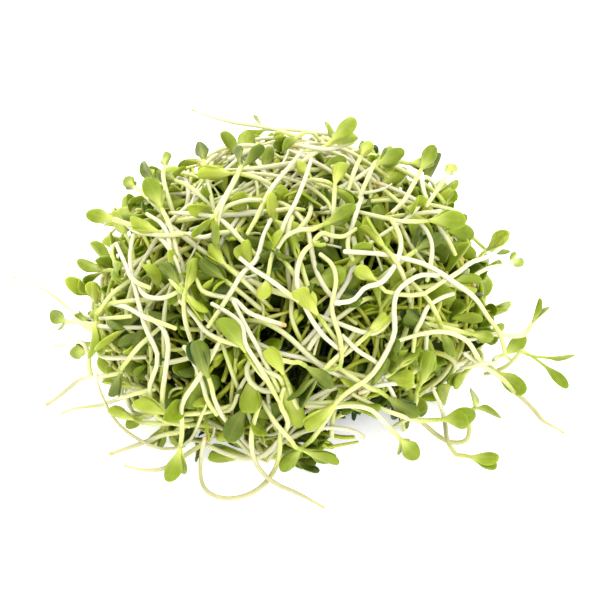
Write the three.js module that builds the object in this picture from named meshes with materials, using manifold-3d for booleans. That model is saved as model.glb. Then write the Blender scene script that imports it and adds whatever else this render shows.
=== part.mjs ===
// A loose heap of fresh alfalfa sprouts on a flat surface.
//
// Units are millimetres and +Z is up. The finished group stands on z = 0 with the middle of its
// bounding box on the Z axis. The middle of the heap is one closed body, packed_sprouts, which
// stands for the hundreds of sprouts tangled there. The sprouts that lie on it, lean out of it and
// trail beside it are separate: each has a stem, and most have a pair of seed leaves joined at
// their base. A few stems have lost their leaves and are broken off bare.
//
// Places are given the way they are pointed out on the heap: [bearing, rise, lift]. The bearing
// turns round the heap in degrees, 0 at the front and 90 on the right, the rise climbs from 0 at
// the foot to 90 at the top, and the lift is how far the place stands off the skin of the packed
// middle, in millimetres.

import * as THREE from "three";
import { mergeVertices } from "three/addons/utils/BufferGeometryUtils.js";
import Module from "manifold-3d";

const wasm = await Module();
wasm.setup();

// ---------------------------------------------------------------- driving dimensions

const HALF_WIDTH = 50; // of the packed middle, along X
const HALF_DEPTH = 46; // along Y
const HEIGHT = 46;
const SHOULDER = 2.5; // 2 is a plain ellipsoid, more gives fuller shoulders
const LUMP_DEPTH = 0.05; // share of the radius that the hollows between clumps go in
const HOLLOW_DEPTH = 0.16; // share by which the skin stands back, low on the right
const HOLLOW_BEARING = 52; // the middle of that hollow, in degrees
const HOLLOW_SPREAD = 24;
const HOLLOW_RISE = 22;
const WIDE_CLUMPS = 3; // round the foot
const SMALL_CLUMPS = 5;
const MASS_SIDES = 32;
const MASS_RINGS = 9;

const STEM_RADIUS = 0.62;
const ROOT_RADIUS = 0.34; // at the tip of a whole root
const STEM_SIDES = 6;
const STEM_STEP = 2.9; // between the rings of a stem
const FEWEST_STEPS = 5;
const TAPER_SHARE = 0.4; // share of a root's length over which it tapers
const END_SHARE = 0.9; // of the stem's radius, at a broken end
const END_STEP = 0.06; // how far an end is rounded, as a share of a step

const LEAF_LENGTH = 6.8;
const LEAF_WIDTH = 3.5;
const LEAF_THICKNESS = 0.75;
const LEAF_WIDEST = 0.62; // share of the blade's length where it is widest
const STALK_SHARE = 0.2; // width of a leaf's stalk, as a share of the blade's
const LEAF_BEND = 0.16; // how far the tip bends back, as a share of the length
const BEND_AT = 0.55; // share of the length where the bend is centred
const SECOND_LEAF = 0.93; // the size of the smaller leaf of each pair, as a share of the other's
const LEAF_SIDES = 8;
const LEAF_STEPS = 7; // along the blade
const STALK_STEPS = 4; // along a stalk as long as the blade
const COLLAR_RADIUS = 0.72; // where the two leaves join

const CLEARANCE = 0.35; // between any two pieces
const BEAD_STEP = 1; // between the balls that stand for a sprout while it is laid
const LAY_PASSES = 160;
const HUMP_STEPS = 1.6; // half the length of the arch where a stem passes over another
const EASE = 0.6; // share of a clash that one pass clears
const NEAR_ENOUGH = 0.02;
const OFF_TABLE = 0.05; // under the lowest stems
const RISE_OUTSIDE = 6; // distance off the skin at which clearing a clash goes half upwards

const COLOURS = { middle: 0x8fa648, stem: 0xeef0d2, leaf: 0x86ad34 };

// ---------------------------------------------------------------- the skin of the packed middle

const UP = new THREE.Vector3(0, 0, 1);
const degrees = THREE.MathUtils.degToRad;

// The share by which the skin stands back where a loose clump leans out over the table.
function hollow(p) {
  const bearing = THREE.MathUtils.radToDeg(Math.atan2(p.x, -p.y));
  const rise = THREE.MathUtils.radToDeg(Math.atan2(Math.max(p.z, 0), Math.hypot(p.x, p.y)));
  const off = ((bearing - HOLLOW_BEARING) / HOLLOW_SPREAD) ** 2 + (rise / HOLLOW_RISE) ** 2;
  return HOLLOW_DEPTH * Math.exp(-off);
}

// 1 on the skin, less inside, more outside, and in proportion to the distance from the origin.
function reach(p) {
  const flat = Math.hypot(p.x / HALF_WIDTH, p.y / HALF_DEPTH);
  const dome = flat ** SHOULDER + (Math.max(p.z, 0) / HEIGHT) ** SHOULDER;
  return dome ** (1 / SHOULDER) / (1 - hollow(p));
}

// The slope of reach() at p: it points straight out of the skin.
function slope(p) {
  const step = 1e-3;
  const along = (x, y, z) => {
    const d = new THREE.Vector3(x, y, z).multiplyScalar(step);
    return (reach(p.clone().add(d)) - reach(p.clone().sub(d))) / (2 * step);
  };
  return new THREE.Vector3(along(1, 0, 0), along(0, 1, 0), along(0, 0, 1));
}

const offSkin = (p) => (reach(p) - 1) / slope(p).length();

function heading(bearing, rise) {
  const b = degrees(bearing);
  const r = degrees(rise);
  return new THREE.Vector3(Math.cos(r) * Math.sin(b), -Math.cos(r) * Math.cos(b), Math.sin(r));
}

function place([bearing, rise, lift]) {
  const p = heading(bearing, rise);
  p.divideScalar(reach(p));
  return p.addScaledVector(slope(p).normalize(), lift);
}

// Off the skin, straight out. Further away, where things lie on the table, more and more upwards.
function outwards(p) {
  const away = Math.max(offSkin(p), 0) / RISE_OUTSIDE;
  return slope(p).normalize().addScaledVector(UP, away).normalize();
}

// ---------------------------------------------------------------- shapes

// Position only, with shared corners merged and the faces that collapsed at the poles left out.
function closed(geometry) {
  const bare = new THREE.BufferGeometry();
  bare.setAttribute("position", geometry.getAttribute("position"));
  bare.setIndex(geometry.index);
  const merged = mergeVertices(bare, 1e-4);
  const kept = [];
  for (let i = 0; i < merged.index.count; i += 3) {
    const [a, b, c] = [0, 1, 2].map((k) => merged.index.getX(i + k));
    if (a !== b && b !== c && c !== a) kept.push(a, b, c);
  }
  return merged.setIndex(kept);
}

function solid(geometry) {
  const g = closed(geometry);
  return new wasm.Manifold(
    new wasm.Mesh({
      numProp: 3,
      vertProperties: new Float32Array(g.getAttribute("position").array),
      triVerts: new Uint32Array(g.index.array),
    }),
  );
}

function geometryOf(manifold) {
  const mesh = manifold.getMesh();
  return new THREE.BufferGeometry()
    .setAttribute("position", new THREE.BufferAttribute(mesh.vertProperties, 3))
    .setIndex(new THREE.BufferAttribute(mesh.triVerts, 1));
}

// A turned shape carried along a line of points. The profile's points are [radius, place], where
// the place counts the line's steps, and flat squeezes the section across the side direction. The
// section is carried along without twisting.
function sweep(line, profile, sides, side, flat) {
  const turned = new THREE.LatheGeometry(
    profile.map(([radius, step]) => new THREE.Vector2(radius, step)),
    sides,
  );
  const tangents = line.map((_, i) =>
    line[Math.min(i + 1, line.length - 1)]
      .clone()
      .sub(line[Math.max(i - 1, 0)])
      .normalize(),
  );
  let across = side.clone();
  const frames = line.map((point, i) => {
    across = across.clone().addScaledVector(tangents[i], -across.dot(tangents[i])).normalize();
    return { point, across, through: across.clone().cross(tangents[i]) };
  });
  const at = turned.getAttribute("position");
  for (let i = 0; i < at.count; i++) {
    const step = at.getY(i);
    const low = Math.min(Math.floor(step + 1e-6), line.length - 1);
    const high = Math.min(low + 1, line.length - 1);
    const { across: a, through } = frames[low];
    const p = frames[low].point
      .clone()
      .lerp(frames[high].point, step - low)
      .addScaledVector(a, at.getX(i))
      .addScaledVector(through, at.getZ(i) * flat);
    at.setXYZ(i, p.x, p.y, p.z);
  }
  return turned;
}

// The packed middle: a full-shouldered dome with shallow hollows, and flat underneath.
function packedMiddle() {
  const rim = Math.PI / 2;
  const points = [];
  for (let ring = 0; ring <= MASS_RINGS; ring++) {
    const rise = (ring / MASS_RINGS) * rim;
    points.push(new THREE.Vector2(Math.cos(rise), Math.sin(rise)));
  }
  points[MASS_RINGS].x = 0;
  const dome = new THREE.LatheGeometry([new THREE.Vector2(0, 0), ...points], MASS_SIDES);
  dome.rotateX(rim);
  const at = dome.getAttribute("position");
  for (let i = 0; i < at.count; i++) {
    const p = new THREE.Vector3().fromBufferAttribute(at, i);
    const size = p.length();
    if (size === 0) continue;
    const bearing = Math.atan2(p.x, -p.y);
    const rise = Math.asin(THREE.MathUtils.clamp(p.z / size, -1, 1));
    const small = Math.sin(SMALL_CLUMPS * bearing + 1) * Math.cos(WIDE_CLUMPS * rise);
    const wide = Math.sin(WIDE_CLUMPS * bearing - 2 * rise);
    const lump = (LUMP_DEPTH * Math.cos(rise) * (small + wide + 2)) / 4;
    p.multiplyScalar((1 - lump) / reach(p));
    at.setXYZ(i, p.x, p.y, Math.max(p.z, 0));
  }
  return closed(dome);
}

// ---------------------------------------------------------------- laying the sprouts

// The line of a stem, from its root to its crown, in even steps.
function stemLine(run) {
  const curve = new THREE.CatmullRomCurve3(run.map(place), false, "centripetal");
  const steps = Math.max(FEWEST_STEPS, Math.round(curve.getLength() / STEM_STEP));
  return curve.getSpacedPoints(steps);
}

// Half the width of a leaf as a share of its widest, from its stalk, below 0, to its tip at 1.
function leafHalf(share) {
  if (share > LEAF_WIDEST) {
    return Math.sqrt(Math.max(0, 1 - ((share - LEAF_WIDEST) / (1 - LEAF_WIDEST)) ** 2));
  }
  return THREE.MathUtils.lerp(STALK_SHARE, 1, THREE.MathUtils.smoothstep(share, 0, LEAF_WIDEST));
}

// The [half width, step] of a leaf at each of its steps but the last, where it comes to its tip.
function leafOutline(pair, steps) {
  const stalk = pair.stalk ?? 0;
  const most = (LEAF_WIDTH / 2) * (pair.size ?? 1);
  const share = (i) => (i / steps) * (1 + stalk) - stalk;
  return Array.from({ length: steps }, (_, i) => [most * leafHalf(share(i)), i]);
}

// The middle line of each leaf of a pair. They open from the stem's own direction by the angle
// open, in a plane that roll turns round the stem from straight out of the heap.
function leafLines(line, pair) {
  const crown = line[line.length - 1];
  const along = crown.clone().sub(line[line.length - 2]).normalize();
  const out = outwards(crown);
  out.addScaledVector(along, -out.dot(along)).normalize();
  out.applyAxisAngle(along, degrees(pair.roll));
  return [1, -1].map((hand) => {
    const turn = degrees(pair.open) * hand;
    const ahead = along.clone().multiplyScalar(Math.cos(turn)).addScaledVector(out, Math.sin(turn));
    const back = out.clone().multiplyScalar(Math.cos(turn) * hand);
    back.addScaledVector(along, -Math.sin(turn) * hand);
    const blade = LEAF_LENGTH * (pair.size ?? 1) * (hand > 0 ? 1 : SECOND_LEAF);
    const length = blade * (1 + (pair.stalk ?? 0));
    const tip = crown.clone().addScaledVector(ahead, length).addScaledVector(back, length * LEAF_BEND);
    const bend = crown.clone().addScaledVector(ahead, length * BEND_AT);
    const curve = new THREE.QuadraticBezierCurve3(crown.clone(), bend, tip);
    const steps = LEAF_STEPS + Math.round(STALK_STEPS * (pair.stalk ?? 0));
    return { points: curve.getPoints(steps), side: along.clone().cross(out).normalize() };
  });
}

// The balls that stand for a sprout while it is laid, each with the stem step that carries it.
function beads(line, pair) {
  const found = [];
  line.forEach((point, i) => {
    if (i === 0) return;
    const steps = Math.ceil(point.distanceTo(line[i - 1]) / BEAD_STEP);
    for (let k = 0; k < steps; k++) {
      const at = line[i - 1].clone().lerp(point, (k + 1) / steps);
      found.push({ at, radius: STEM_RADIUS, step: i - 1 + (k + 1) / steps });
    }
  });
  if (pair) {
    for (const { points } of leafLines(line, pair)) {
      for (const [radius, i] of leafOutline(pair, points.length - 1)) {
        found.push({ at: points[i], radius: Math.max(radius, COLLAR_RADIUS), step: line.length - 1 });
      }
    }
  }
  return found;
}

// Raises a stem clear of the middle, of the table and of every sprout laid before it. Each clash
// lifts the steps beside it too, so that the stem passes over in one smooth arch.
function lay(line, pair, laid) {
  for (let pass = 0; pass < LAY_PASSES; pass++) {
    const needs = [];
    for (const bead of beads(line, pair)) {
      let short = bead.radius + CLEARANCE - offSkin(bead.at);
      for (const other of laid) {
        const room = bead.radius + other.radius + CLEARANCE;
        if (Math.abs(bead.at.x - other.at.x) < room) {
          short = Math.max(short, room - bead.at.distanceTo(other.at));
        }
      }
      if (short > NEAR_ENOUGH) {
        needs.push({ step: bead.step, by: short * EASE + NEAR_ENOUGH, way: outwards(bead.at) });
      }
      const sunk = bead.radius + OFF_TABLE - bead.at.z;
      if (sunk > 0) needs.push({ step: bead.step, by: sunk + NEAR_ENOUGH, way: UP });
    }
    if (!needs.length) return line;
    line.forEach((point, i) => {
      let most = 0;
      let way;
      for (const need of needs) {
        const by = need.by * Math.exp(-(((i - need.step) / HUMP_STEPS) ** 2));
        if (by > most) [most, way] = [by, need.way];
      }
      if (most > 0) point.addScaledVector(way, most);
    });
  }
  throw new Error("a sprout finds no clear way over the others");
}

// ---------------------------------------------------------------- stems and leaves

// A round stem. A whole root tapers to its tip, and a broken end is only a little rounded.
function stemGeometry(line, rooted) {
  const last = line.length - 1;
  const top = COLLAR_RADIUS + CLEARANCE;
  const short = top / line[last].distanceTo(line[last - 1]);
  const broken = STEM_RADIUS * END_SHARE;
  const end = rooted ? ROOT_RADIUS : broken;
  const profile = [[0, 0]];
  for (let i = 0; i < last; i++) {
    const share = Math.min(i / (last * TAPER_SHARE), 1);
    profile.push([THREE.MathUtils.lerp(end, STEM_RADIUS, share), Math.max(i, END_STEP)]);
  }
  profile.push([broken, last - short], [0, last - short + END_STEP]);
  return closed(sweep(line, profile, STEM_SIDES, outwards(line[0]), 1));
}

// The pair of leaves, joined by a round collar at the top of their stem.
function leavesGeometry(line, pair) {
  const crown = line[line.length - 1];
  const collar = new THREE.SphereGeometry(COLLAR_RADIUS, 8, 6).translate(crown.x, crown.y, crown.z);
  return leafLines(line, pair).reduce((joined, { points, side }) => {
    const steps = points.length - 1;
    const edge = leafOutline(pair, steps).map(([half, step]) => [half, Math.max(step, END_STEP)]);
    const profile = [[0, 0], ...edge, [0, steps]];
    const leaf = sweep(points, profile, LEAF_SIDES, side, LEAF_THICKNESS / LEAF_WIDTH);
    return joined.add(solid(leaf));
  }, solid(collar));
}

// ---------------------------------------------------------------- the sprouts, one by one

// run goes from the root to the crown. open and roll set the pair of leaves, and rooted marks a
// whole, tapering root. Where they cross, a later sprout passes over an earlier one.
const SPROUTS = [
  // low on the left, with ends trailing on the table
  {
    name: "left_floor",
    run: [[-68, 1, 11.5], [-69, 2, 7.5], [-69, 5, 3.5], [-60, 12, 1.5], [-50, 19, 1]],
  },
  {
    name: "left_root",
    run: [[-64, 1, 9.5], [-63, 2, 6], [-60, 3, 2], [-46, 15, 1.5], [-38, 20, 1]],
    rooted: true,
  },
  {
    name: "left_broken",
    run: [[-46, 1, 8.5], [-44, 2, 6], [-41, 3, 2], [-35, 8, 1.5], [-29, 11, 1]],
  },
  {
    name: "low_root",
    run: [[-41, 1, 9], [-36, 1, 7.5], [-32, 2, 5.5], [-29, 4, 2], [-23, 10, 1]],
    rooted: true,
  },
  {
    name: "left_hook",
    run: [[-81, 7, 6.5], [-76, 11, 4], [-68, 17, 2.5], [-64, 16, 2], [-60, 11, 1]],
  },
  {
    name: "left_edge",
    run: [[-58, 26, 1], [-63, 25, 1.5], [-69, 22, 3], [-77, 17, 4.5]],
    pair: { open: 11, roll: 15 },
  },
  {
    name: "far_left_root",
    run: [[-93, 16, 17.5], [-92, 15, 10], [-90, 12, 4], [-68, 22, 2], [-54, 23, 1]],
    rooted: true,
  },
  // low at the front
  {
    name: "drop",
    run: [[-22, 38, 1], [-24, 32, 1.5], [-26, 27, 2.5], [-29, 20, 3.5], [-28, 14, 4], [-28, 9, 4.5]],
    pair: { open: 7, roll: 10, size: 1.2 },
  },
  {
    name: "loop",
    run: [
      [-23, 12, 1], [-24, 5, 2], [-23, 1, 5], [-19, 1, 8.5], [-14, 1, 8.5],
      [-9, 1, 5], [-6, 3, 2], [-4, 10, 2], [-4, 18, 1],
    ],
  },
  {
    name: "front_root",
    run: [[6, 1, 10.5], [1, 1, 6], [-5, 2, 3], [-10, 7, 2], [-11, 16, 2], [-9, 24, 1]],
    rooted: true,
  },
  // low on the right, where a loose clump leans out over the table
  {
    name: "right_drop",
    run: [
      [2.5, 23, 1], [8.5, 22.5, 1.5], [14.5, 23, 3],
      [18.5, 22, 4.5], [21, 19, 5], [26.5, 10, 1],
    ],
    pair: { open: 6, roll: 20, size: 1.15 },
  },
  {
    name: "low_right",
    run: [
      [41, 18.5, 1], [42.5, 13.5, 3], [46.5, 4, 4], [37, 8, 9],
      [36, 5.5, 11], [36, 5, 13.5], [37, 5.5, 14.5],
    ],
    pair: { open: 8, roll: 10 },
  },
  {
    name: "wide_right",
    run: [[15, 25, 1], [21, 21, 2], [25.5, 19, 4.5], [31.5, 15, 4.5], [34.5, 17, 8.5]],
    pair: { open: 12, roll: 40, size: 1.15 },
  },
  {
    name: "upright",
    run: [
      [32, 16.5, 1], [39.5, 5.5, 2], [40.5, 2.5, 7], [42.5, 3, 10],
      [45, 7, 11], [47, 10, 9], [48.5, 12.5, 7.5], [50.5, 13, 8.5],
    ],
    pair: { open: 62, roll: 25, size: 1.15 },
  },
  {
    name: "right_root",
    run: [[69, 2, 24], [69, 2, 21], [69, 2, 18], [70, 3, 14], [69, 6, 10.5], [74, 2, 3]],
    rooted: true,
  },
  {
    name: "long_arc",
    run: [
      [26.5, 34.5, 1], [31.5, 35, 2], [38.5, 34.5, 3], [43, 33.5, 4], [47.5, 31, 4.5],
      [51, 28, 4.5], [54.5, 23, 4.5], [63.5, 14, 3], [64.5, 12.5, 5],
    ],
    pair: { open: 8, roll: 30, size: 1.15 },
  },
  {
    name: "far_right",
    run: [
      [69.5, 5.5, 1], [69, 9.5, 4], [69, 12.5, 6],
      [69, 15.5, 7.5], [69, 18, 9], [68.5, 18, 11],
    ],
    pair: { open: 12, roll: 0, stalk: 0.75 },
  },
  {
    name: "round",
    run: [[51.5, 19, 1], [54.5, 20, 3], [67.5, 12.5, 1.5], [73, 11, 3]],
    pair: { open: 24, roll: -45, size: 1.05 },
  },
  {
    name: "spoon",
    run: [
      [54, 26, 1], [58, 25.5, 3], [65.5, 22.5, 3.5], [67, 22, 6.5],
      [69, 21.5, 8.5], [70, 21.5, 9], [71.5, 22.5, 9.5],
    ],
    pair: { open: 4, roll: -80, size: 0.9 },
  },
  {
    name: "right_curl",
    run: [[67, 37, 1], [74, 35, 2], [83, 30, 2.5], [92, 25, 3.5]],
    pair: { open: 12, roll: 75, size: 0.8 },
  },
  // over the face and the top
  {
    name: "curled_front",
    run: [[12, 62, 2], [5, 60, 2.5], [1, 55, 3], [1, 50, 3], [4, 45, 2.5], [8, 40, 2], [14, 35, 1]],
  },
  {
    name: "thick_sweep",
    run: [[-71, 56, 2], [-56, 61, 3], [-44, 63, 3], [-29, 61, 2.5], [-15, 57, 1.5]],
  },
  {
    name: "face",
    run: [[-47.5, 49.5, 1], [-54.5, 52.5, 1.5], [-63, 54.5, 2.5], [-72.5, 55, 3.5]],
    pair: { open: 8, roll: 5, size: 1.2 },
  },
  {
    name: "left_brow",
    run: [
      [-39, 44.5, 1], [-46.5, 49, 1.5], [-58.5, 51, 1.5],
      [-70.5, 50, 2], [-78.5, 46, 3], [-84, 43, 4],
    ],
    pair: { open: 16, roll: -30 },
  },
  {
    name: "twin",
    run: [[-112, 74, 1], [-78, 73, 1.5], [-56, 68, 2.5], [-44, 62, 3.5]],
    pair: { open: 13, roll: 60, size: 1.2 },
  },
  {
    name: "right_lean",
    run: [[47, 68, 1], [53, 63, 1.5], [58, 58, 2.5], [64, 54, 4]],
    pair: { open: 12, roll: 50, size: 1.2 },
  },
  {
    name: "upper_right",
    run: [[62, 62, 1], [74, 61, 1.5], [86, 60, 2.5], [97, 58, 4.5]],
    pair: { open: 10, roll: 15 },
  },
  {
    name: "upper",
    run: [[50, 78, 1], [68, 76, 1.5], [83, 73, 2.5], [95, 69, 4]],
    pair: { open: 14, roll: 65 },
  },
  {
    name: "top",
    run: [[-107, 86, 1], [174, 86, 1.5], [150, 82, 2.5], [140, 78, 4]],
    pair: { open: 9, roll: 10, size: 1.35 },
  },
  {
    name: "top_root",
    run: [[-137, 52, 11], [-144, 54, 7.5], [-153, 56, 5], [-166, 59, 3], [174, 66, 1]],
    rooted: true,
  },
  // round the back
  {
    name: "back_low",
    run: [[128, 1, 9], [137, 3, 5], [146, 8, 2], [155, 15, 1], [163, 24, 1]],
    rooted: true,
  },
  {
    name: "back_right",
    run: [[152, 28, 1], [141, 24, 1.5], [130, 18, 3], [120, 10, 6]],
    pair: { open: 34, roll: 30 },
  },
  {
    name: "back_fall",
    run: [[-178, 50, 1], [176, 40, 1.5], [-178, 30, 2], [-170, 20, 3.5], [-164, 11, 6]],
    pair: { open: 18, roll: 70 },
  },
  {
    name: "back_sweep",
    run: [[-172, 8, 1], [-160, 20, 1.5], [-143, 27, 1.5], [-126, 26, 1.5], [-112, 18, 3]],
  },
  {
    name: "back_left",
    run: [[-118, 36, 1], [-128, 30, 1.5], [-135, 20, 3], [-138, 9, 6.5]],
    pair: { open: 40, roll: 10 },
  },
  {
    name: "back_trail",
    run: [[-150, 1, 10], [-147, 1, 6], [-140, 3, 2.5], [-128, 9, 1.5], [-116, 8, 1]],
  },
  {
    name: "back_top",
    run: [[150, 56, 1], [163, 58, 1.5], [178, 55, 2], [-168, 47, 3.5]],
    pair: { open: 28, roll: 40, size: 1.1 },
  },
];

// ---------------------------------------------------------------- the heap

function piece(name, geometry, colour) {
  const shown = geometry.toNonIndexed();
  shown.computeVertexNormals();
  const material = new THREE.MeshStandardMaterial({ color: colour, roughness: 0.5, metalness: 0 });
  const mesh = new THREE.Mesh(shown, material);
  mesh.name = name;
  return mesh;
}

function buildHeap() {
  const heap = new THREE.Group();
  heap.add(piece("packed_sprouts", packedMiddle(), COLOURS.middle));
  const laid = [];
  for (const { name, run, pair, rooted } of SPROUTS) {
    const line = lay(stemLine(run), pair, laid);
    laid.push(...beads(line, pair));
    heap.add(piece(`${name}_stem`, stemGeometry(line, rooted), COLOURS.stem));
    if (pair) {
      heap.add(piece(`${name}_leaves`, geometryOf(leavesGeometry(line, pair)), COLOURS.leaf));
    }
  }
  return heap;
}

// Stands the group on z = 0 with the middle of its bounding box on the Z axis.
function centred(heap) {
  const box = new THREE.Box3().setFromObject(heap);
  const middle = box.getCenter(new THREE.Vector3());
  heap.position.set(-middle.x, -middle.y, -box.min.z);
  return new THREE.Group().add(heap);
}

export default centred(buildHeap());
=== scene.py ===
"""Dresses the heap of alfalfa sprouts: every sprout with its own bent stem and seed leaves.

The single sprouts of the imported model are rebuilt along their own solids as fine, round stems and
thin leaves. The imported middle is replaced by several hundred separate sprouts, which are wound
through a mound of its size and then settled until they lie beside and over one another.

Lengths are in millimetres until a mesh is written, in metres.
"""

import logging
import math
from dataclasses import dataclass, field
from enum import Enum
from functools import cache

import bpy
import numpy as np
from mathutils import Matrix, Vector


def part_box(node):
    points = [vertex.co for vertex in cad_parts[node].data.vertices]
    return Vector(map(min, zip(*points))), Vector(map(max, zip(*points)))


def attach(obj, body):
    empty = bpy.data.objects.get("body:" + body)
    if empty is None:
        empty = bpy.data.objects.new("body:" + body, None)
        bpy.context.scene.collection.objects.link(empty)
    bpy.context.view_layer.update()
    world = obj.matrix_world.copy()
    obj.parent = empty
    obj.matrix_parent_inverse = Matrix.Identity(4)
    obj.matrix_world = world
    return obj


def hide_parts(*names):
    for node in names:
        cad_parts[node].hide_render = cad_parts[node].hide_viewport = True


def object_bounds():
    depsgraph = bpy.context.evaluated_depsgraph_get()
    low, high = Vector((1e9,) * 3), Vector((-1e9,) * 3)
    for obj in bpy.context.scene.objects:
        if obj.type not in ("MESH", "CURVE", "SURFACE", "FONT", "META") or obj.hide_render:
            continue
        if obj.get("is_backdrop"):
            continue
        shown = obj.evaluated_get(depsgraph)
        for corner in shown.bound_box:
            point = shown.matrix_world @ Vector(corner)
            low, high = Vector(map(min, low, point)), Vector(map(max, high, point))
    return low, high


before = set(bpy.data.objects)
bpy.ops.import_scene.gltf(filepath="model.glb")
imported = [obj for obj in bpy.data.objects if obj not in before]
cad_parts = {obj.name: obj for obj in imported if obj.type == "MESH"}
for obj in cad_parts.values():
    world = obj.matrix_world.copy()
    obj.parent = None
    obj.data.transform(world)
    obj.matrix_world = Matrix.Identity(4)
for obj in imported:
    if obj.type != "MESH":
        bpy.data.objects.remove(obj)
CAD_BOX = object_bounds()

Array = np.ndarray
Colour = tuple[float, float, float, float]
Place = tuple[float, float, float]
Range = tuple[float, float]
Spread = tuple[float, float, float, float]
Chance = np.random.Generator
Socket = bpy.types.NodeSocket

MM = 0.001
FULL_TURN = 2 * math.pi
MIDDLE = "packed_sprouts"
BAKE_MAP = "OFBake"
GRAIN_FIELD = 400  # how far apart the grain of two skins may be taken from
TINY = 1e-9  # keeps a division from failing
HEART_HEIGHT = 10.0  # where bare stems point away from

log = logging.getLogger("sprouts")


# ---- small vector helpers


def size_of(v: Array) -> Array:
    """Lengths of vectors along the last axis."""
    return np.linalg.norm(v, axis=-1)


def unit(v: Array) -> Array:
    """Vectors along the last axis, scaled to length one."""
    return v / np.maximum(np.linalg.norm(v, axis=-1, keepdims=True), TINY)


def dot(a: Array, b: Array) -> Array:
    """The dot product along the last axis, which is kept at length one."""
    return (a * b).sum(-1, keepdims=True)


def ease(low: float, high: float, x: Array) -> Array:
    """A smooth step: 0 below low, 1 above high, and 3t^2 - 2t^3 in between."""
    t = np.clip((x - low) / (high - low), 0, 1)
    return t * t * (3 - 2 * t)


def square_to(v: Array, axis: Array) -> Array:
    """v without its share along axis, at length one."""
    return unit(v - dot(v, axis) * axis)


def with_ends(line: Array, near: Array, far: Array) -> Array:
    """Lines with one more point at either end."""
    return np.concatenate([near, line, far], axis=1)


def tangents(line: Array) -> Array:
    """Unit directions along lines of points shaped (lines, points, 3), by central differences."""
    padded = with_ends(line, line[:, :1], line[:, -1:])
    return unit(padded[:, 2:] - padded[:, :-2])


def carried(first: Array, direction: Array) -> Array:
    """A side direction carried along lines without twisting.

    Each point's side is the one before it, made square to the new direction.

    Args:
        first: the side at each line's first point, shaped (lines, 3).
        direction: unit directions along the lines, shaped (lines, points, 3).

    Returns:
        Unit sides, shaped as direction.
    """
    sides = np.empty_like(direction)
    side = first
    for i in range(direction.shape[1]):
        side = square_to(side, direction[:, i])
        sides[:, i] = side
    return sides


def resampled(line: Array, count: int) -> Array:
    """Lines with their points spread evenly, by a cubic through each four neighbours.

    Args:
        line: points, shaped (lines, points, 3).
        count: how many points each new line gets.

    Returns:
        Points shaped (lines, count, 3).
    """
    at = np.linspace(0, line.shape[1] - 1, count)
    low = np.minimum(at.astype(int), line.shape[1] - 2)
    t = (at - low)[None, :, None]
    start = 2 * line[:, :1] - line[:, 1:2]
    end = 2 * line[:, -1:] - line[:, -2:-1]
    padded = with_ends(line, start, end)
    a, b, c, d = (padded[:, low + k] for k in range(4))
    return b + 0.5 * t * (c - a + t * (2 * a - 5 * b + 4 * c - d + t * (3 * (b - c) + d - a)))


# ---- the shape of the heap


@dataclass(frozen=True)
class Patch:
    """A stretch of the mound's skin, as a bell over bearing and rise, in degrees.

    Attributes:
        bearing: of its middle, 0 at the front and 90 on the right.
        rise: of its middle, 0 at the foot and 90 at the top.
        wide: its spread in bearing.
        tall: its spread in rise.
    """

    bearing: float
    rise: float
    wide: float
    tall: float

    def share(self, bearing: Array, rise: Array) -> Array:
        """1 in the middle, falling off as e^-(u^2 + v^2), where u and v are the ways off in spreads."""
        return np.exp(-(((bearing - self.bearing) / self.wide) ** 2) - ((rise - self.rise) / self.tall) ** 2)


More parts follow.
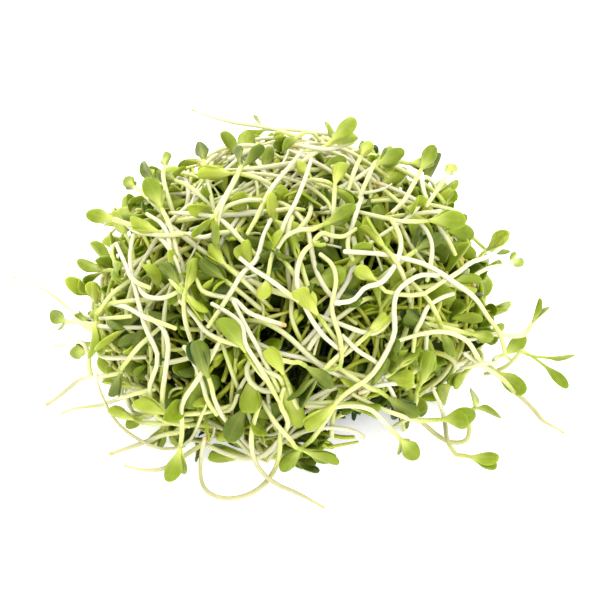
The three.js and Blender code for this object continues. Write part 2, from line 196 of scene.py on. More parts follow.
@dataclass(frozen=True)
class Mound:
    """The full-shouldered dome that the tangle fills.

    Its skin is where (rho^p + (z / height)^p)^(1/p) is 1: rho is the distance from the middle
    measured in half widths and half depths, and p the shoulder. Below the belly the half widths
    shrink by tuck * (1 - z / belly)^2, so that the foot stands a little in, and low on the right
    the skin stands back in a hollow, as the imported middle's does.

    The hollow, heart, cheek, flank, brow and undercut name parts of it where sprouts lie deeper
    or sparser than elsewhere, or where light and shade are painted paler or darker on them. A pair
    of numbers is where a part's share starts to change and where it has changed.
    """

    middle: tuple[float, float]
    half_width: float
    half_depth: float
    height: float
    shoulder: float = 2.5
    tuck: float = 0.08
    belly: float = 15.0
    hollow_depth: float = 0.16
    hollow_at: Patch = Patch(52.0, 0.0, 24.0, 22.0)
    heart_at: Patch = Patch(6.0, 40.0, 24.0, 16.0)
    cheek_at: Patch = Patch(72.0, 26.0, 30.0, 22.0)
    cheek_right: float = 0.6
    flank_left: float = 0.5
    flank_spread: float = 38.0
    flank_foot: Range = (0.15, 0.4)
    flank_top: Range = (0.66, 0.86)
    brow_foot: Range = (0.76, 0.98)
    brow_back: float = 0.3
    undercut_foot: float = -13.2
    undercut_slope: float = 0.727
    undercut_soft: float = 1.5
    undercut_left: Range = (-1.0, 5.0)
    undercut_right: Range = (40.0, 48.0)
    TRIES = 12

    def plan(self, p: Array) -> tuple[Array, Array]:
        """How far points are to the right of the middle, and how far behind it."""
        return p[..., 0] - self.middle[0], p[..., 1] - self.middle[1]

    def around(self, p: Array) -> tuple[Array, Array]:
        """Bearings round the mound, 0 at the front and 90 on the right, and rises from its foot, in degrees."""
        x, y = self.plan(p)
        return np.degrees(np.arctan2(x, -y)), np.degrees(np.arctan2(np.maximum(p[..., 2], 0), np.hypot(x, y)))

    def hollow(self, p: Array) -> Array:
        """The share by which the skin stands back."""
        return self.hollow_depth * self.hollow_at.share(*self.around(p))

    def flat(self, p: Array) -> tuple[Array, Array]:
        """Where points are across the mound, measured in half widths and half depths.

        Args:
            p: points.

        Returns:
            Their places across it, and their distance rho from its middle.
        """
        under = np.clip(1 - p[..., 2] / self.belly, 0, 1)
        size = 1 - self.tuck * under**2
        q = (p[..., :2] - self.middle) / (self.half_width, self.half_depth) / size[..., None]
        return q, np.maximum(np.hypot(q[..., 0], q[..., 1]), 1e-6)

    def reach(self, p: Array) -> Array:
        """1 on the skin, less inside: (rho^p + (z / height)^p)^(1/p), over what the hollow leaves."""
        rho, h = self.flat(p)[1], np.maximum(p[..., 2], 0) / self.height
        return (rho**self.shoulder + h**self.shoulder) ** (1 / self.shoulder) / (1 - self.hollow(p))

    def slope(self, p: Array) -> Array:
        """The gradient of reach, without the hollow's and the tuck's own share.

        Args:
            p: points.

        Returns:
            Vectors, shaped as the points.
        """
        s = self.shoulder
        q, rho = self.flat(p)
        h = np.maximum(p[..., 2], 0) / self.height
        whole = np.maximum((rho**s + h**s) ** (1 / s), 1e-6) ** (1 - s)
        across = whole * rho ** (s - 2)
        x = across * q[..., 0] / self.half_width
        y = across * q[..., 1] / self.half_depth
        z = whole * h ** (s - 1) / self.height
        return np.stack([x, y, z], -1)

    def out(self, p: Array) -> Array:
        """Unit directions straight out of the skin."""
        return unit(self.slope(p))

    def over(self, p: Array) -> Array:
        """How far points stand off the skin, negative inside."""
        return (self.reach(p) - 1) / np.maximum(size_of(self.slope(p)), 1e-4)

    def brow(self, p: Array) -> Array:
        """1 for points on the top and behind it, easing to 0 lower down in front."""
        back = (p[..., 1] - self.middle[1]) / self.half_depth
        return ease(*self.brow_foot, p[..., 2] / self.height + self.brow_back * back)

    def heart(self, p: Array) -> Array:
        """1 halfway up the middle of the front, where the heap is most open, easing to 0 round it."""
        return self.heart_at.share(*self.around(p))

    def cheek(self, p: Array) -> Array:
        """1 halfway up the left of the front, less on the right, easing to 0 round both."""
        bearing, rise = self.around(p)
        return np.where(bearing > 0, self.cheek_right, 1.0) * self.cheek_at.share(np.abs(bearing), rise)

    def flank(self, p: Array) -> Array:
        """How much points belong to the heap's shoulders.

        It is e^-(a / spread)^2, where a is the angle in plan from straight aside, times a smooth
        rise above the foot and a smooth fall below the top.

        Args:
            p: points.

        Returns:
            1 high on the right side, less on the left, easing to 0 round them.
        """
        x, y = self.plan(p)
        aside = (np.degrees(np.arctan2(y, np.abs(x))) / self.flank_spread) ** 2
        h = p[..., 2] / self.height
        side = np.where(x > 0, 1.0, self.flank_left)
        return side * np.exp(-aside) * ease(*self.flank_foot, h) * (1 - ease(*self.flank_top, h))

    def undercut(self, p: Array) -> Array:
        """How much points belong to the gap low on the front right.

        The gap lies under a slope that rises towards the front.

        Args:
            p: points.

        Returns:
            1 in the gap, easing to 0 round it.
        """
        x, y = self.plan(p)
        below = self.undercut_foot - self.undercut_slope * y - p[..., 2]
        under = ease(-self.undercut_soft, self.undercut_soft, below)
        return under * ease(*self.undercut_left, x) * (1 - ease(*self.undercut_right, x))

    def place(self, bearing: Array, rise: Array, lift: Array) -> Array:
        """The points at a bearing round the mound, a rise from its foot and a lift off its skin.

        Args:
            bearing: degrees, 0 at the front and 90 on the right.
            rise: degrees, 0 at the foot and 90 at the top.
            lift: distance off the skin.

        Returns:
            Points with one more axis, of length 3.
        """
        b, r = np.radians(bearing), np.radians(rise)
        way = np.stack([np.cos(r) * np.sin(b), -np.cos(r) * np.cos(b), np.sin(r)], -1)
        centre = np.array([*self.middle, 0.0])
        p = way + centre
        for _ in range(self.TRIES):
            p = centre + (p - centre) / self.reach(p)[..., None]
        return p + self.out(p) * np.asarray(lift)[..., None]


# ---- meshes


@dataclass
class Loft:
    """Closed skins, all alike in their grid: rings of points between two poles.

    Attributes:
        rings: points shaped (skins, rings, sides, 3), counterclockwise seen from the far end.
        first: the near pole of each skin, shaped (skins, 3).
        last: the far pole.
        marks: named values at every ring point, shaped (skins, rings, sides) or with a 3 after it.
    """

    rings: Array
    first: Array
    last: Array
    marks: dict[str, Array] = field(default_factory=dict)
    MARGIN = 0.08  # round a skin in its cell of the unfolded map

    def points(self) -> Array:
        """Near pole, rings, far pole, skin after skin, shaped (points, 3)."""
        flat = self.rings.reshape(len(self.rings), -1, 3)
        return with_ends(flat, self.first[:, None], self.last[:, None]).reshape(-1, 3)

    def mark_values(self, name: str) -> Array:
        """One mark for every point: a pole takes the mean of the ring beside it.

        Args:
            name: the mark's name.

        Returns:
            Its values, in the order of points.
        """
        value = self.marks[name]
        n, rings, sides = value.shape[:3]
        flat = value.reshape(n, rings * sides, *value.shape[3:])
        near, far = value[:, 0].mean(1)[:, None], value[:, -1].mean(1)[:, None]
        return with_ends(flat, near, far).reshape(-1, *value.shape[3:])

    def faces(self) -> tuple[Array, Array]:
        """The faces, as point numbers.

        Returns:
            The quads between rings, and the triangles at the poles.
        """
        n, rings, sides = self.rings.shape[:3]
        each = rings * sides + 2
        side = np.arange(sides)
        after = (side + 1) % sides
        row = 1 + np.arange(rings - 1)[:, None] * sides
        quad = np.stack([row + side, row + after, row + sides + after, row + sides + side], -1)
        top = each - 1 - sides
        near = np.stack([np.zeros(sides, int), 1 + after, 1 + side], -1)
        far = np.stack([np.full(sides, each - 1), top + side, top + after], -1)
        shift = np.arange(n)[:, None, None] * each
        quads = (quad.reshape(1, -1, 4) + shift).reshape(-1, 4)
        tris = (np.concatenate([near, far])[None] + shift).reshape(-1, 3)
        return quads, tris

    def unfolded(self, shape: float) -> tuple[Array, Array]:
        """Each skin unrolled into its own cell of a grid that fills the unit square.

        A cell holds the sides across and the rings upwards, with a margin round it.

        Args:
            shape: how many cells there are across for each one upwards.

        Returns:
            The places of the quads' corners and of the triangles' corners.
        """
        n, rings, sides = self.rings.shape[:3]
        down = max(1, round(math.sqrt(n / shape)))
        across = math.ceil(n / down)
        cell = np.arange(n)
        cell = np.stack([cell % across, cell // across], -1)
        i = np.arange(sides) / sides
        j = (1 + np.arange(rings)) / (rings + 1)
        step, rise = 1 / sides, 1 / (rings + 1)
        u, v = np.broadcast_to(i, (rings - 1, sides)), np.broadcast_to(j[:-1, None], (rings - 1, sides))
        low, high = np.full(sides, j[0]), np.full(sides, j[-1])
        zero, one = np.zeros(sides), np.ones(sides)
        quad = (u, v), (u + step, v), (u + step, v + rise), (u, v + rise)
        near = (i + step / 2, zero), (i + step, low), (i, low)
        far = (i + step / 2, one), (i, high), (i + step, high)
        quad, near, far = (np.stack([np.stack(corner, -1) for corner in face], -2) for face in (quad, near, far))
        size = np.array([1 / across, 1 / down])

        def spread(local: Array) -> Array:
            """Local places copied into every cell."""
            inside = self.MARGIN + (1 - 2 * self.MARGIN) * local.reshape(1, -1, 2)
            return ((cell[:, None] + inside) * size).reshape(-1, 2)

        return spread(quad), spread(np.concatenate([near, far]))

    def mesh(self, name: str, shape: float) -> bpy.types.Mesh:
        """The skins as one mesh, with their unfolded map and marks.

        Args:
            name: the mesh's name.
            shape: see unfolded.

        Returns:
            The new mesh.
        """
        quads, tris = self.faces()
        quad_map, tri_map = self.unfolded(shape)
        points = self.points() * MM
        mesh = bpy.data.meshes.new(name)
        mesh.vertices.add(len(points))
        mesh.vertices.foreach_set("co", points.astype(np.float32).ravel())
        mesh.loops.add(quads.size + tris.size)
        mesh.loops.foreach_set("vertex_index", np.concatenate([quads.ravel(), tris.ravel()]).astype(np.int32))
        mesh.polygons.add(len(quads) + len(tris))
        starts = np.concatenate([np.arange(len(quads)) * 4, quads.size + np.arange(len(tris)) * 3])
        mesh.polygons.foreach_set("loop_start", starts.astype(np.int32))
        mesh.polygons.foreach_set("use_smooth", np.ones(len(starts), bool))
        layer = mesh.uv_layers.new(name=BAKE_MAP)
        layer.data.foreach_set("uv", np.concatenate([quad_map, tri_map]).astype(np.float32).ravel())
        for mark in self.marks:
            value = self.mark_values(mark).astype(np.float32)
            kind, socket = ("FLOAT_VECTOR", "vector") if value.ndim > 1 else ("FLOAT", "value")
            mesh.attributes.new(mark, kind, "POINT").data.foreach_set(socket, value.ravel())
        mesh.update(calc_edges=True)
        mesh.validate()
        return mesh


# ---- stems


@dataclass
class Stems:
    """Stems as lines of points with what they look like.

    Attributes:
        line: points from root to crown, shaped (stems, points, 3).
        radius: of each stem.
        root: the radius at the root end, as a share.
        scar: how brown each root end is, 0 or up to 1.
        tint: how green each stem is, 0 to 1.
    """

    line: Array
    radius: Array
    root: Array
    scar: Array
    tint: Array
    ROOT_TAPER = 0.4  # share of the length over which a root end thins
    SWELL = 0.04
    CROWN_FROM, CROWN_THINS = 0.85, 0.12
    CAP, CAP_STEP, POLE_STEP = 0.72, 0.45, 0.3  # an end's last ring and its pole, in radii
    SCAR_REACH = 1.1

    def __len__(self) -> int:
        """How many stems there are."""
        return len(self.line)

    def pick(self, which: Array) -> "Stems":
        """The chosen stems."""
        return Stems(*(value[which] for value in vars(self).values()))

    def loft(self, rings: int, sides: int, rng: Chance) -> Loft:
        """Round skins along the lines.

        The radius swells and thins a little along the stem, tapers to the root over its first
        two fifths, and each end is rounded over by one small ring and its pole.

        Args:
            rings: rings along each stem.
            sides: points round each ring.
            rng: for what differs from stem to stem.

        Returns:
            The skins, marked with grain, along, scar and tint.
        """
        n = len(self)
        line = resampled(self.line, rings)
        way = tangents(line)
        across = carried(rng.normal(size=(n, 3)), way)
        through = np.cross(way, across)
        share = np.linspace(0, 1, rings)[None]
        taper = self.root[:, None] + (1 - self.root[:, None]) * ease(0, self.ROOT_TAPER, share)
        swell = 1 + self.SWELL * np.sin(share * rng.uniform(6, 14, (n, 1)) + rng.uniform(0, FULL_TURN, (n, 1)))
        radius = self.radius[:, None] * taper * swell * (1 - self.CROWN_THINS * ease(self.CROWN_FROM, 1, share))
        near = line[:, :1] - way[:, :1] * (radius[:, :1, None] * self.CAP_STEP)
        far = line[:, -1:] + way[:, -1:] * (radius[:, -1:, None] * self.CAP_STEP)
        line = with_ends(line, near, far)
        way, across, through = (with_ends(a, a[:, :1], a[:, -1:]) for a in (way, across, through))
        radius = with_ends(radius, radius[:, :1] * self.CAP, radius[:, -1:] * self.CAP)
        share = np.concatenate([[0.0], share[0], [1.0]])
        angle = np.arange(sides) * FULL_TURN / sides
        ring = across[:, :, None] * np.cos(angle)[:, None] + through[:, :, None] * np.sin(angle)[:, None]
        rings_at = line[:, :, None] + ring * radius[:, :, None, None]
        first = line[:, 0] - way[:, 0] * radius[:, :1] * self.POLE_STEP
        last = line[:, -1] + way[:, -1] * radius[:, -1:] * self.POLE_STEP
        length = size_of(np.diff(line, axis=1))
        gone = np.concatenate([np.zeros((n, 1)), np.cumsum(length, axis=1)], axis=1)
        shape = rings_at.shape[:3]
        turn = np.stack([np.cos(angle), np.sin(angle)], -1)
        grain = np.empty((*shape, 3))
        grain[..., :2] = turn[None, None] * self.radius[:, None, None, None]
        grain[..., 2] = gone[:, :, None]
        grain += rng.uniform(0, GRAIN_FIELD, (n, 1, 1, 3))
        scar = self.scar[:, None] * np.exp(-((gone / self.SCAR_REACH) ** 2))
        marks = {"along": share[None, :, None], "scar": scar[:, :, None], "tint": self.tint[:, None, None]}
        marks = {name: np.broadcast_to(value, shape) for name, value in marks.items()}
        return Loft(rings_at, first, last, {"grain": grain, **marks})


# ---- leaves


@dataclass
class Leaves:
    """Seed leaves as middle lines with a width direction and what they look like.

    Attributes:
        line: points from the stalk's foot to the tip, shaped (leaves, points, 3).
        width_way: across each leaf, shaped (leaves, 3).
        inner: roughly towards the pair's other leaf.
        half: half the width at its widest.
        thick: the thickness.
        stalk: share of the length that is stalk.
        cup: how far the edges curl towards the inner face, as a share of the half width.
        tint: 0 dark to 1 yellow-green.
    """

    line: Array
    width_way: Array
    inner: Array
    half: Array
    thick: Array
    stalk: Array
    cup: Array
    tint: Array
    WIDEST = 0.6  # share of the blade where it is widest
    FOOT_WIDTH = 0.2
    STEPS = 32  # along the fine middle line
    CROWDED, EVEN = 0.55, 0.45  # how much the rings crowd towards the tip
    SWAY = 0.09
    CREASE, CREASE_WIDTH = 0.12, 0.3

    def __len__(self) -> int:
        """How many leaves there are."""
        return len(self.line)

    def pick(self, which: Array) -> "Leaves":
        """The chosen leaves."""
        return Leaves(*(value[which] for value in vars(self).values()))

    def outline(self, share: Array, stalk: Array) -> Array:
        """Half the width along a leaf, as a share of its widest.

        Past the stalk the blade widens in a smooth step to its full width at six tenths of its
        length, and from there it is a quarter of an ellipse to the round tip.

        Args:
            share: places along the leaf, 0 at its foot and 1 at its tip.
            stalk: share of the length that is stalk.

        Returns:
            The widths, shaped as share.
        """
        blade = (share - stalk) / (1 - stalk)
        low = self.FOOT_WIDTH + 0.8 * ease(0, self.WIDEST, blade)
        high = np.sqrt(np.maximum(0, 1 - (np.maximum(blade - self.WIDEST, 0) / (1 - self.WIDEST)) ** 2))
        return np.where(blade < self.WIDEST, low, high)

    def loft(self, rings: int, sides: int, rng: Chance) -> Loft:
        """Thin closed skins with rounded edges.

        A section is an ellipse, as wide as the outline and as thick as the leaf, whose edges are
        lifted to the inner face by the cup, with a shallow crease along the middle of that face.
        The stalk's sections are nearly round. Each leaf leans a little to one side with the square
        of the distance.

        Args:
            rings: rings along each leaf, closer together towards its tip.
            sides: points round each ring.
            rng: for what differs from leaf to leaf.

        Returns:
            The skins, marked with grain, blade and tint.
        """
        n = len(self)
        even = np.linspace(0, 1, rings + 1)[:-1] + 0.35 / rings
        share = np.sin(even * math.pi / 2) * self.CROWDED + even * self.EVEN
        fine = resampled(self.line, self.STEPS + 1)
        at = share * self.STEPS
        low = at.astype(int)
        t = (at - low)[None, :, None]
        line = fine[:, low] * (1 - t) + fine[:, np.minimum(low + 1, self.STEPS)] * t
        way = tangents(np.concatenate([line, fine[:, -1:]], axis=1))[:, :-1]
        across = carried(self.width_way, way)
        facing = np.cross(way, across)
        flip = np.sign(dot(facing.mean(1), self.inner))
        flip[flip == 0] = 1
        across = across * flip[:, None]
        facing = np.cross(way, across)
        length = size_of(self.line[:, -1] - self.line[:, 0])
        sway = rng.normal(0, self.SWAY, n) * length
        line = line + across * (sway[:, None] * share**2)[..., None]
        width = self.half[:, None] * self.outline(share[None], self.stalk[:, None])
        ends = np.sqrt(np.clip(1 - ((share - 0.5) / 0.52) ** 4, 0.02, 1))
        thick = 0.5 * self.thick[:, None] * ends * (1 + 0.25 * (1 - ease(0, 0.3, share)))
        width = np.maximum(width, thick * 0.8)
        angle = np.arange(sides) * FULL_TURN / sides
        c, s = np.cos(angle), np.sin(angle)
        flat = width[:, :, None] * c
        curl = self.cup[:, None, None] * (width[:, :, None] * ease(0.15, 0.5, share)[None, :, None]) * c**2
        crease = self.CREASE * thick[:, :, None] * np.where(s > 0, -np.exp(-((c / self.CREASE_WIDTH) ** 2)), 0)
        deep = thick[:, :, None] * s + curl + crease
        ring = line[:, :, None] + across[:, :, None] * flat[..., None] + facing[:, :, None] * deep[..., None]
        shape = ring.shape[:3]
        whole = share[None, :, None]
        grain = np.stack(np.broadcast_arrays(flat, whole * length[:, None, None], s), -1)
        grain = grain + rng.uniform(0, GRAIN_FIELD, (n, 1, 1, 3))
        blade = np.stack([np.broadcast_to(value, shape) for value in (whole, c, 0.5 + 0.5 * s)], -1)
        foot = self.line[:, 0] - way[:, 0] * thick[:, :1] * 0.5
        tint = np.broadcast_to(self.tint[:, None, None], shape)
        tip = self.line[:, -1] + across[:, -1] * sway[:, None]
        return Loft(ring, foot, tip, {"grain": grain, "blade": blade, "tint": tint})


@dataclass
class Crowns:
    """How the seed leaves sit on the tops of stems.

    Attributes:
        opening: half the angle between the two leaves, in radians.
        swing: the direction in which they open, before it is made square to the stem.
        length: of the longer leaf of each pair.
        bend: how far the tips bend back, as a share of the length.
    """

    opening: Array
    swing: Array
    length: Array
    bend: Array
    SECOND = 0.93  # the shorter leaf of a pair, as a share of the longer

    def lines(self, crown: Array, along: Array, places: Array) -> Array:
        """Points on the middle lines of both leaves.

        A leaf sets off at its opening from the stem's direction and bends back with the square
        of the distance.

        Args:
            crown: the tops of the stems, shaped (pairs, 3).
            along: the stems' directions there.
            places: shares of the leaf's length.

        Returns:
            Points shaped (pairs, 2, places, 3).
        """
        swing = square_to(self.swing, along)
        hand = np.array([1.0, -1.0])[None, :, None]
        open_ = self.opening[:, None, None]
        ahead = along[:, None] * np.cos(open_) + swing[:, None] * hand * np.sin(open_)
        back = swing[:, None] * hand * np.cos(open_) - along[:, None] * np.sin(open_)
        size = self.length[:, None, None, None] * np.array([1.0, self.SECOND])[None, :, None, None]
        v = places[None, None, :, None]
        bend = self.bend[:, None, None, None]
        return crown[:, None, None] + size * (ahead[:, :, None] * v + back[:, :, None] * bend * v**2)


# ---- settling the tangle


@dataclass
class Settling:
    """Lays sprouts beside and over one another.

    A sprout is a chain of points along its stem, and each of its leaves three more. In each
    round, every two stretches that lie in one another are pushed apart, half each; the points
    are then drawn back towards the shape that the sprout grew in, towards their even spacing,
    into the mound, and up onto the table.

    Attributes:
        mound: what the sprouts fill.
        line: the stems as they grew, shaped (sprouts, points, 3).
        leafy: which stems have leaves.
        crowns: how their leaves sit.
        radius: of each stem.
        held: how strongly each stem is drawn back to where it grew, 0 or more.
        fixed: starts, ends and radii of what lies still.
        rounds: how many rounds are made.
        gap: what is left between two stretches.
    """

    mound: Mound
    line: Array
    leafy: Array
    crowns: Crowns
    radius: Array
    held: Array
    fixed: tuple[Array, Array, Array]
    rounds: int = 110
    gap: float = 0.04
    LEAF_RADIUS = 0.85
    STALK_RADIUS = 0.4
    PLACES = np.array([0.3, 0.65, 0.95])  # of a leaf's three points, as shares of its length
    KIN = 4  # stretches of one sprout this near to each other in order may touch
    LOOK_EVERY, LOOK_FAR = 6, 4.2  # rounds between looks for neighbours, and how far off they may be
    LONGEST_PUSH = 0.5
    FIRM_SHARE = 0.4
    EAGER = 1.2
    LEAF_PULL, STEM_PULL = 0.25, 0.22
    SKIN_PULL, SKIN_SLACK = 0.12, 0.6
    LEAF_RETURN, LEAF_FLOOR, STEM_FLOOR = 0.35, 0.6, 0.02
    SMOOTHINGS, SMOOTH_ALL = 16, 4
    DEEP_CLASH = 0.4

    def __post_init__(self) -> None:
        """Numbers every stretch once: stems, then leaves, then what lies still."""
        n, k = self.line.shape[:2]
        self.count = n * k
        stem = np.arange(n * k).reshape(n, k)
        leafy = np.flatnonzero(self.leafy)
        leaf = self.count + np.arange(len(leafy) * 6).reshape(-1, 2, 3)
        crown = np.repeat(stem[leafy, -1][:, None], 2, axis=1)
        a = [stem[:, :-1].ravel(), crown.ravel(), leaf[..., 0].ravel(), leaf[..., 1].ravel()]
        b = [stem[:, 1:].ravel(), leaf[..., 0].ravel(), leaf[..., 1].ravel(), leaf[..., 2].ravel()]
        owner_leaf = np.repeat(leafy, 2)
        owner = [np.repeat(np.arange(n), k - 1), owner_leaf, owner_leaf, owner_leaf]
        wide = np.full(len(owner_leaf), self.LEAF_RADIUS)
        radius = [np.repeat(self.radius, k - 1), wide * 0 + self.STALK_RADIUS, wide, wide]
        place = [np.tile(np.arange(k - 1), n), np.full(len(owner_leaf), k), *[np.full(len(owner_leaf), k + 5)] * 2]
        start, end, thick = self.fixed
        moving = self.count + leaf.size
        m = len(start)
        still = moving + np.arange(2 * m).reshape(2, m)
        self.a = np.concatenate([*a, still[0]])
        self.b = np.concatenate([*b, still[1]])
        self.owner = np.concatenate([*owner, np.full(m, n)])
        self.thick = np.concatenate([*radius, thick])
        self.place = np.concatenate([*place, np.zeros(m, int)])
        self.firm = np.append(self.held, 0)[self.owner] > 0
        self.moving = moving
        self.still = np.concatenate([start, end])
        self.leafy_at = leafy

    def neighbours(self, points: Array, far: float) -> tuple[Array, Array]:
        """Stretches that are near each other, found by sorting their middles into cubes.

        Args:
            points: all the points.
            far: how close two middles have to be, which is also the cubes' size.

        Returns:
            The first and the second stretch of each pair.
        """
        middle = 0.5 * (points[self.a] + points[self.b])
        cell = np.floor((middle - middle.min(0)) / far).astype(np.int64) + 1
        span = cell.max(0) + 2
        key = (cell[:, 0] * span[1] + cell[:, 1]) * span[2] + cell[:, 2]
        order = np.argsort(key, kind="stable")
        ordered = key[order]
        found = []
        ways = (-1, 0, 1)
        for x, y, z in [(x, y, z) for x in ways for y in ways for z in ways if (x, y, z) >= (0, 0, 0)]:
            wanted = key + (x * span[1] + y) * span[2] + z
            low = np.searchsorted(ordered, wanted, "left")
            size = np.searchsorted(ordered, wanted, "right") - low
            one = np.repeat(np.arange(len(key)), size)
            begin = np.repeat(low - np.concatenate([[0], np.cumsum(size)[:-1]]), size)
            two = order[begin + np.arange(len(one))]
            if (x, y, z) == (0, 0, 0):
                keep = one < two
                one, two = one[keep], two[keep]
            near = ((middle[one] - middle[two]) ** 2).sum(-1) < far * far
            one, two = one[near], two[near]
            same = (self.owner[one] == self.owner[two]) & (np.abs(self.place[one] - self.place[two]) < self.KIN)
            found.append((one[~same], two[~same]))
        one, two = (np.concatenate(side) for side in zip(*found))
        loose = (self.a[one] < self.moving) | (self.a[two] < self.moving)
        return one[loose], two[loose]

    @staticmethod
    def closest(p: Array, q: Array, r: Array, s: Array) -> tuple[Array, Array]:
        """Where two straight stretches come closest.

        It is the least distance between two lines, by its two linear equations, with each share
        kept between 0 and 1.

        Args:
            p: the first stretch's start.
            q: its end.
            r: the second stretch's start.
            s: its end.

        Returns:
            The places on both, as shares of their lengths.
        """
        d1, d2, w = q - p, s - r, p - r
        a, e, f = (d1 * d1).sum(-1) + TINY, (d2 * d2).sum(-1) + TINY, (d2 * w).sum(-1)
        b, c = (d1 * d2).sum(-1), (d1 * w).sum(-1)
        apart = a * e - b * b
        t = np.clip(np.where(apart > TINY, (b * f - c * e) / np.maximum(apart, TINY), 0.5), 0, 1)
        u = np.clip((b * t + f) / e, 0, 1)
        return np.clip((b * u - c) / a, 0, 1), u

    def clashes(self, points: Array, one: Array, two: Array) -> tuple[Array, Array, Array, Array, Array]:
        """Which pairs of stretches lie in each other.

        Args:
            points: all the points.
            one: the first stretch of each pair.
            two: the second.

        Returns:
            Which pairs, where on the first and on the second stretch, how deep, and the way from
            the second to the first.
        """
        p, q, r, s = points[self.a[one]], points[self.b[one]], points[self.a[two]], points[self.b[two]]
        t, u = self.closest(p, q, r, s)
        between = p + (q - p) * t[:, None] - r - (s - r) * u[:, None]
        distance = size_of(between)
        deep = self.thick[one] + self.thick[two] + self.gap - distance
        hit = np.flatnonzero(deep > 0)
        way = between[hit] / np.maximum(distance[hit], 1e-3)[:, None]
        return hit, t[hit], u[hit], deep[hit], way

    def pushes(self, points: Array, one: Array, two: Array) -> Array:
        """How far the points are moved to part what lies in each other.

        Args:
            points: all the points.
            one: the first stretch of each pair of neighbours.
            two: the second.

        Returns:
            A move for every point, the mean of what its stretches ask for.
        """
        hit, t, u, deep, way = self.clashes(points, one, two)
        one, two = one[hit], two[hit]
        still_one, still_two = self.a[one] >= self.moving, self.a[two] >= self.moving
        firm = self.firm[one].astype(int) - self.firm[two]
        share = np.where(still_two, 1.0, np.where(still_one, 0.0, 0.5 - self.FIRM_SHARE * firm))
        push = way * deep[:, None]
        total = len(points)
        move, weight = np.zeros((total, 3)), np.zeros(total)
        for index, part, sign, at in ((one, share, 1, t), (two, 1 - share, -1, u)):
            for ends, w in ((self.a, 1 - at), (self.b, at)):
                strength = w * part
                target = ends[index]
                for axis in range(3):
                    move[:, axis] += np.bincount(target, push[:, axis] * strength * sign, total)
                weight += np.bincount(target, w, total)
        return move / np.maximum(weight, 1)[:, None]

    def leaves(self, line: Array) -> Array:
        """Where the leaves' points want to be, for the stems as they lie."""
        stem = line[self.leafy_at]
        return self.crowns.lines(stem[:, -1], unit(stem[:, -1] - stem[:, -3]), self.PLACES)

    def run(self) -> tuple[Array, Array]:
        """Settles everything.

        Returns:
            The stems' lines, and the leaves' points shaped (leafy sprouts, 2, 3, 3).
        """
        line = self.line.copy()
        n, k = line.shape[:2]
        leaf = self.leaves(line)
        grown = line[:, 2:] + line[:, :-2] - 2 * line[:, 1:-1]
        step = np.linalg.norm(np.diff(line, axis=1), axis=-1, keepdims=True)
        one = two = np.zeros(0, int)
        held = self.held[:, None, None]
        for turn in range(self.rounds):
            points = np.concatenate([line.reshape(-1, 3), leaf.reshape(-1, 3), self.still])
            if turn % self.LOOK_EVERY == 0:
                one, two = self.neighbours(points, self.LOOK_FAR)
            move = self.pushes(points, one, two)
            size = np.linalg.norm(move, axis=-1, keepdims=True)
            move *= np.minimum(1, self.LONGEST_PUSH / np.maximum(size, 1e-6))
            shift = move[: self.count].reshape(n, k, 3)
            eased = shift.copy()
            eased[:, 1:-1] = 0.5 * shift[:, 1:-1] + 0.25 * (shift[:, :-2] + shift[:, 2:])
            leaf_shift = move[self.count : self.moving].reshape(leaf.shape)
            eased[self.leafy_at, -1] += self.LEAF_PULL * leaf_shift.mean((1, 2))
            line += self.EAGER * eased
            leaf += leaf_shift
            bent = line[:, 2:] + line[:, :-2] - 2 * line[:, 1:-1] - grown
            line[:, 1:-1] += self.STEM_PULL * bent
            for _ in range(2):
                reach = np.diff(line, axis=1)
                size = np.linalg.norm(reach, axis=-1, keepdims=True)
                fix = 0.5 * reach * (1 - step / np.maximum(size, 1e-6))
                line[:, :-1] += 0.5 * fix
                line[:, 1:] -= 0.5 * fix
            over = self.mound.over(line)[..., None]
            pull = np.where(held > 0, 0, self.SKIN_PULL)
            line -= self.mound.out(line) * pull * np.maximum(over - self.SKIN_SLACK, 0)
            line += held * (self.line - line)
            line[..., 2] = np.maximum(line[..., 2], self.radius[:, None] + self.STEM_FLOOR)
            leaf += self.LEAF_RETURN * (self.leaves(line) - leaf)
            leaf[..., 2] = np.maximum(leaf[..., 2], self.LEAF_FLOOR)
        moved = line - self.line
        for turn in range(self.SMOOTHINGS):
            which = 1.0 if turn < self.SMOOTH_ALL else (self.held > 0)[:, None, None]
            moved[:, 1:-1] += which * (0.25 * (moved[:, :-2] + moved[:, 2:]) - 0.5 * moved[:, 1:-1])
        line = self.line + moved
        points = np.concatenate([line.reshape(-1, 3), leaf.reshape(-1, 3), self.still])
        hit, _, _, deep, _ = self.clashes(points, one, two)
        log.info("settled: %d stretches, %d still touch, %d by more than %.1f mm", len(self.a), len(hit),
                 int((deep > self.DEEP_CLASH).sum()), self.DEEP_CLASH)
        return line, leaf


# ---- colour and finish


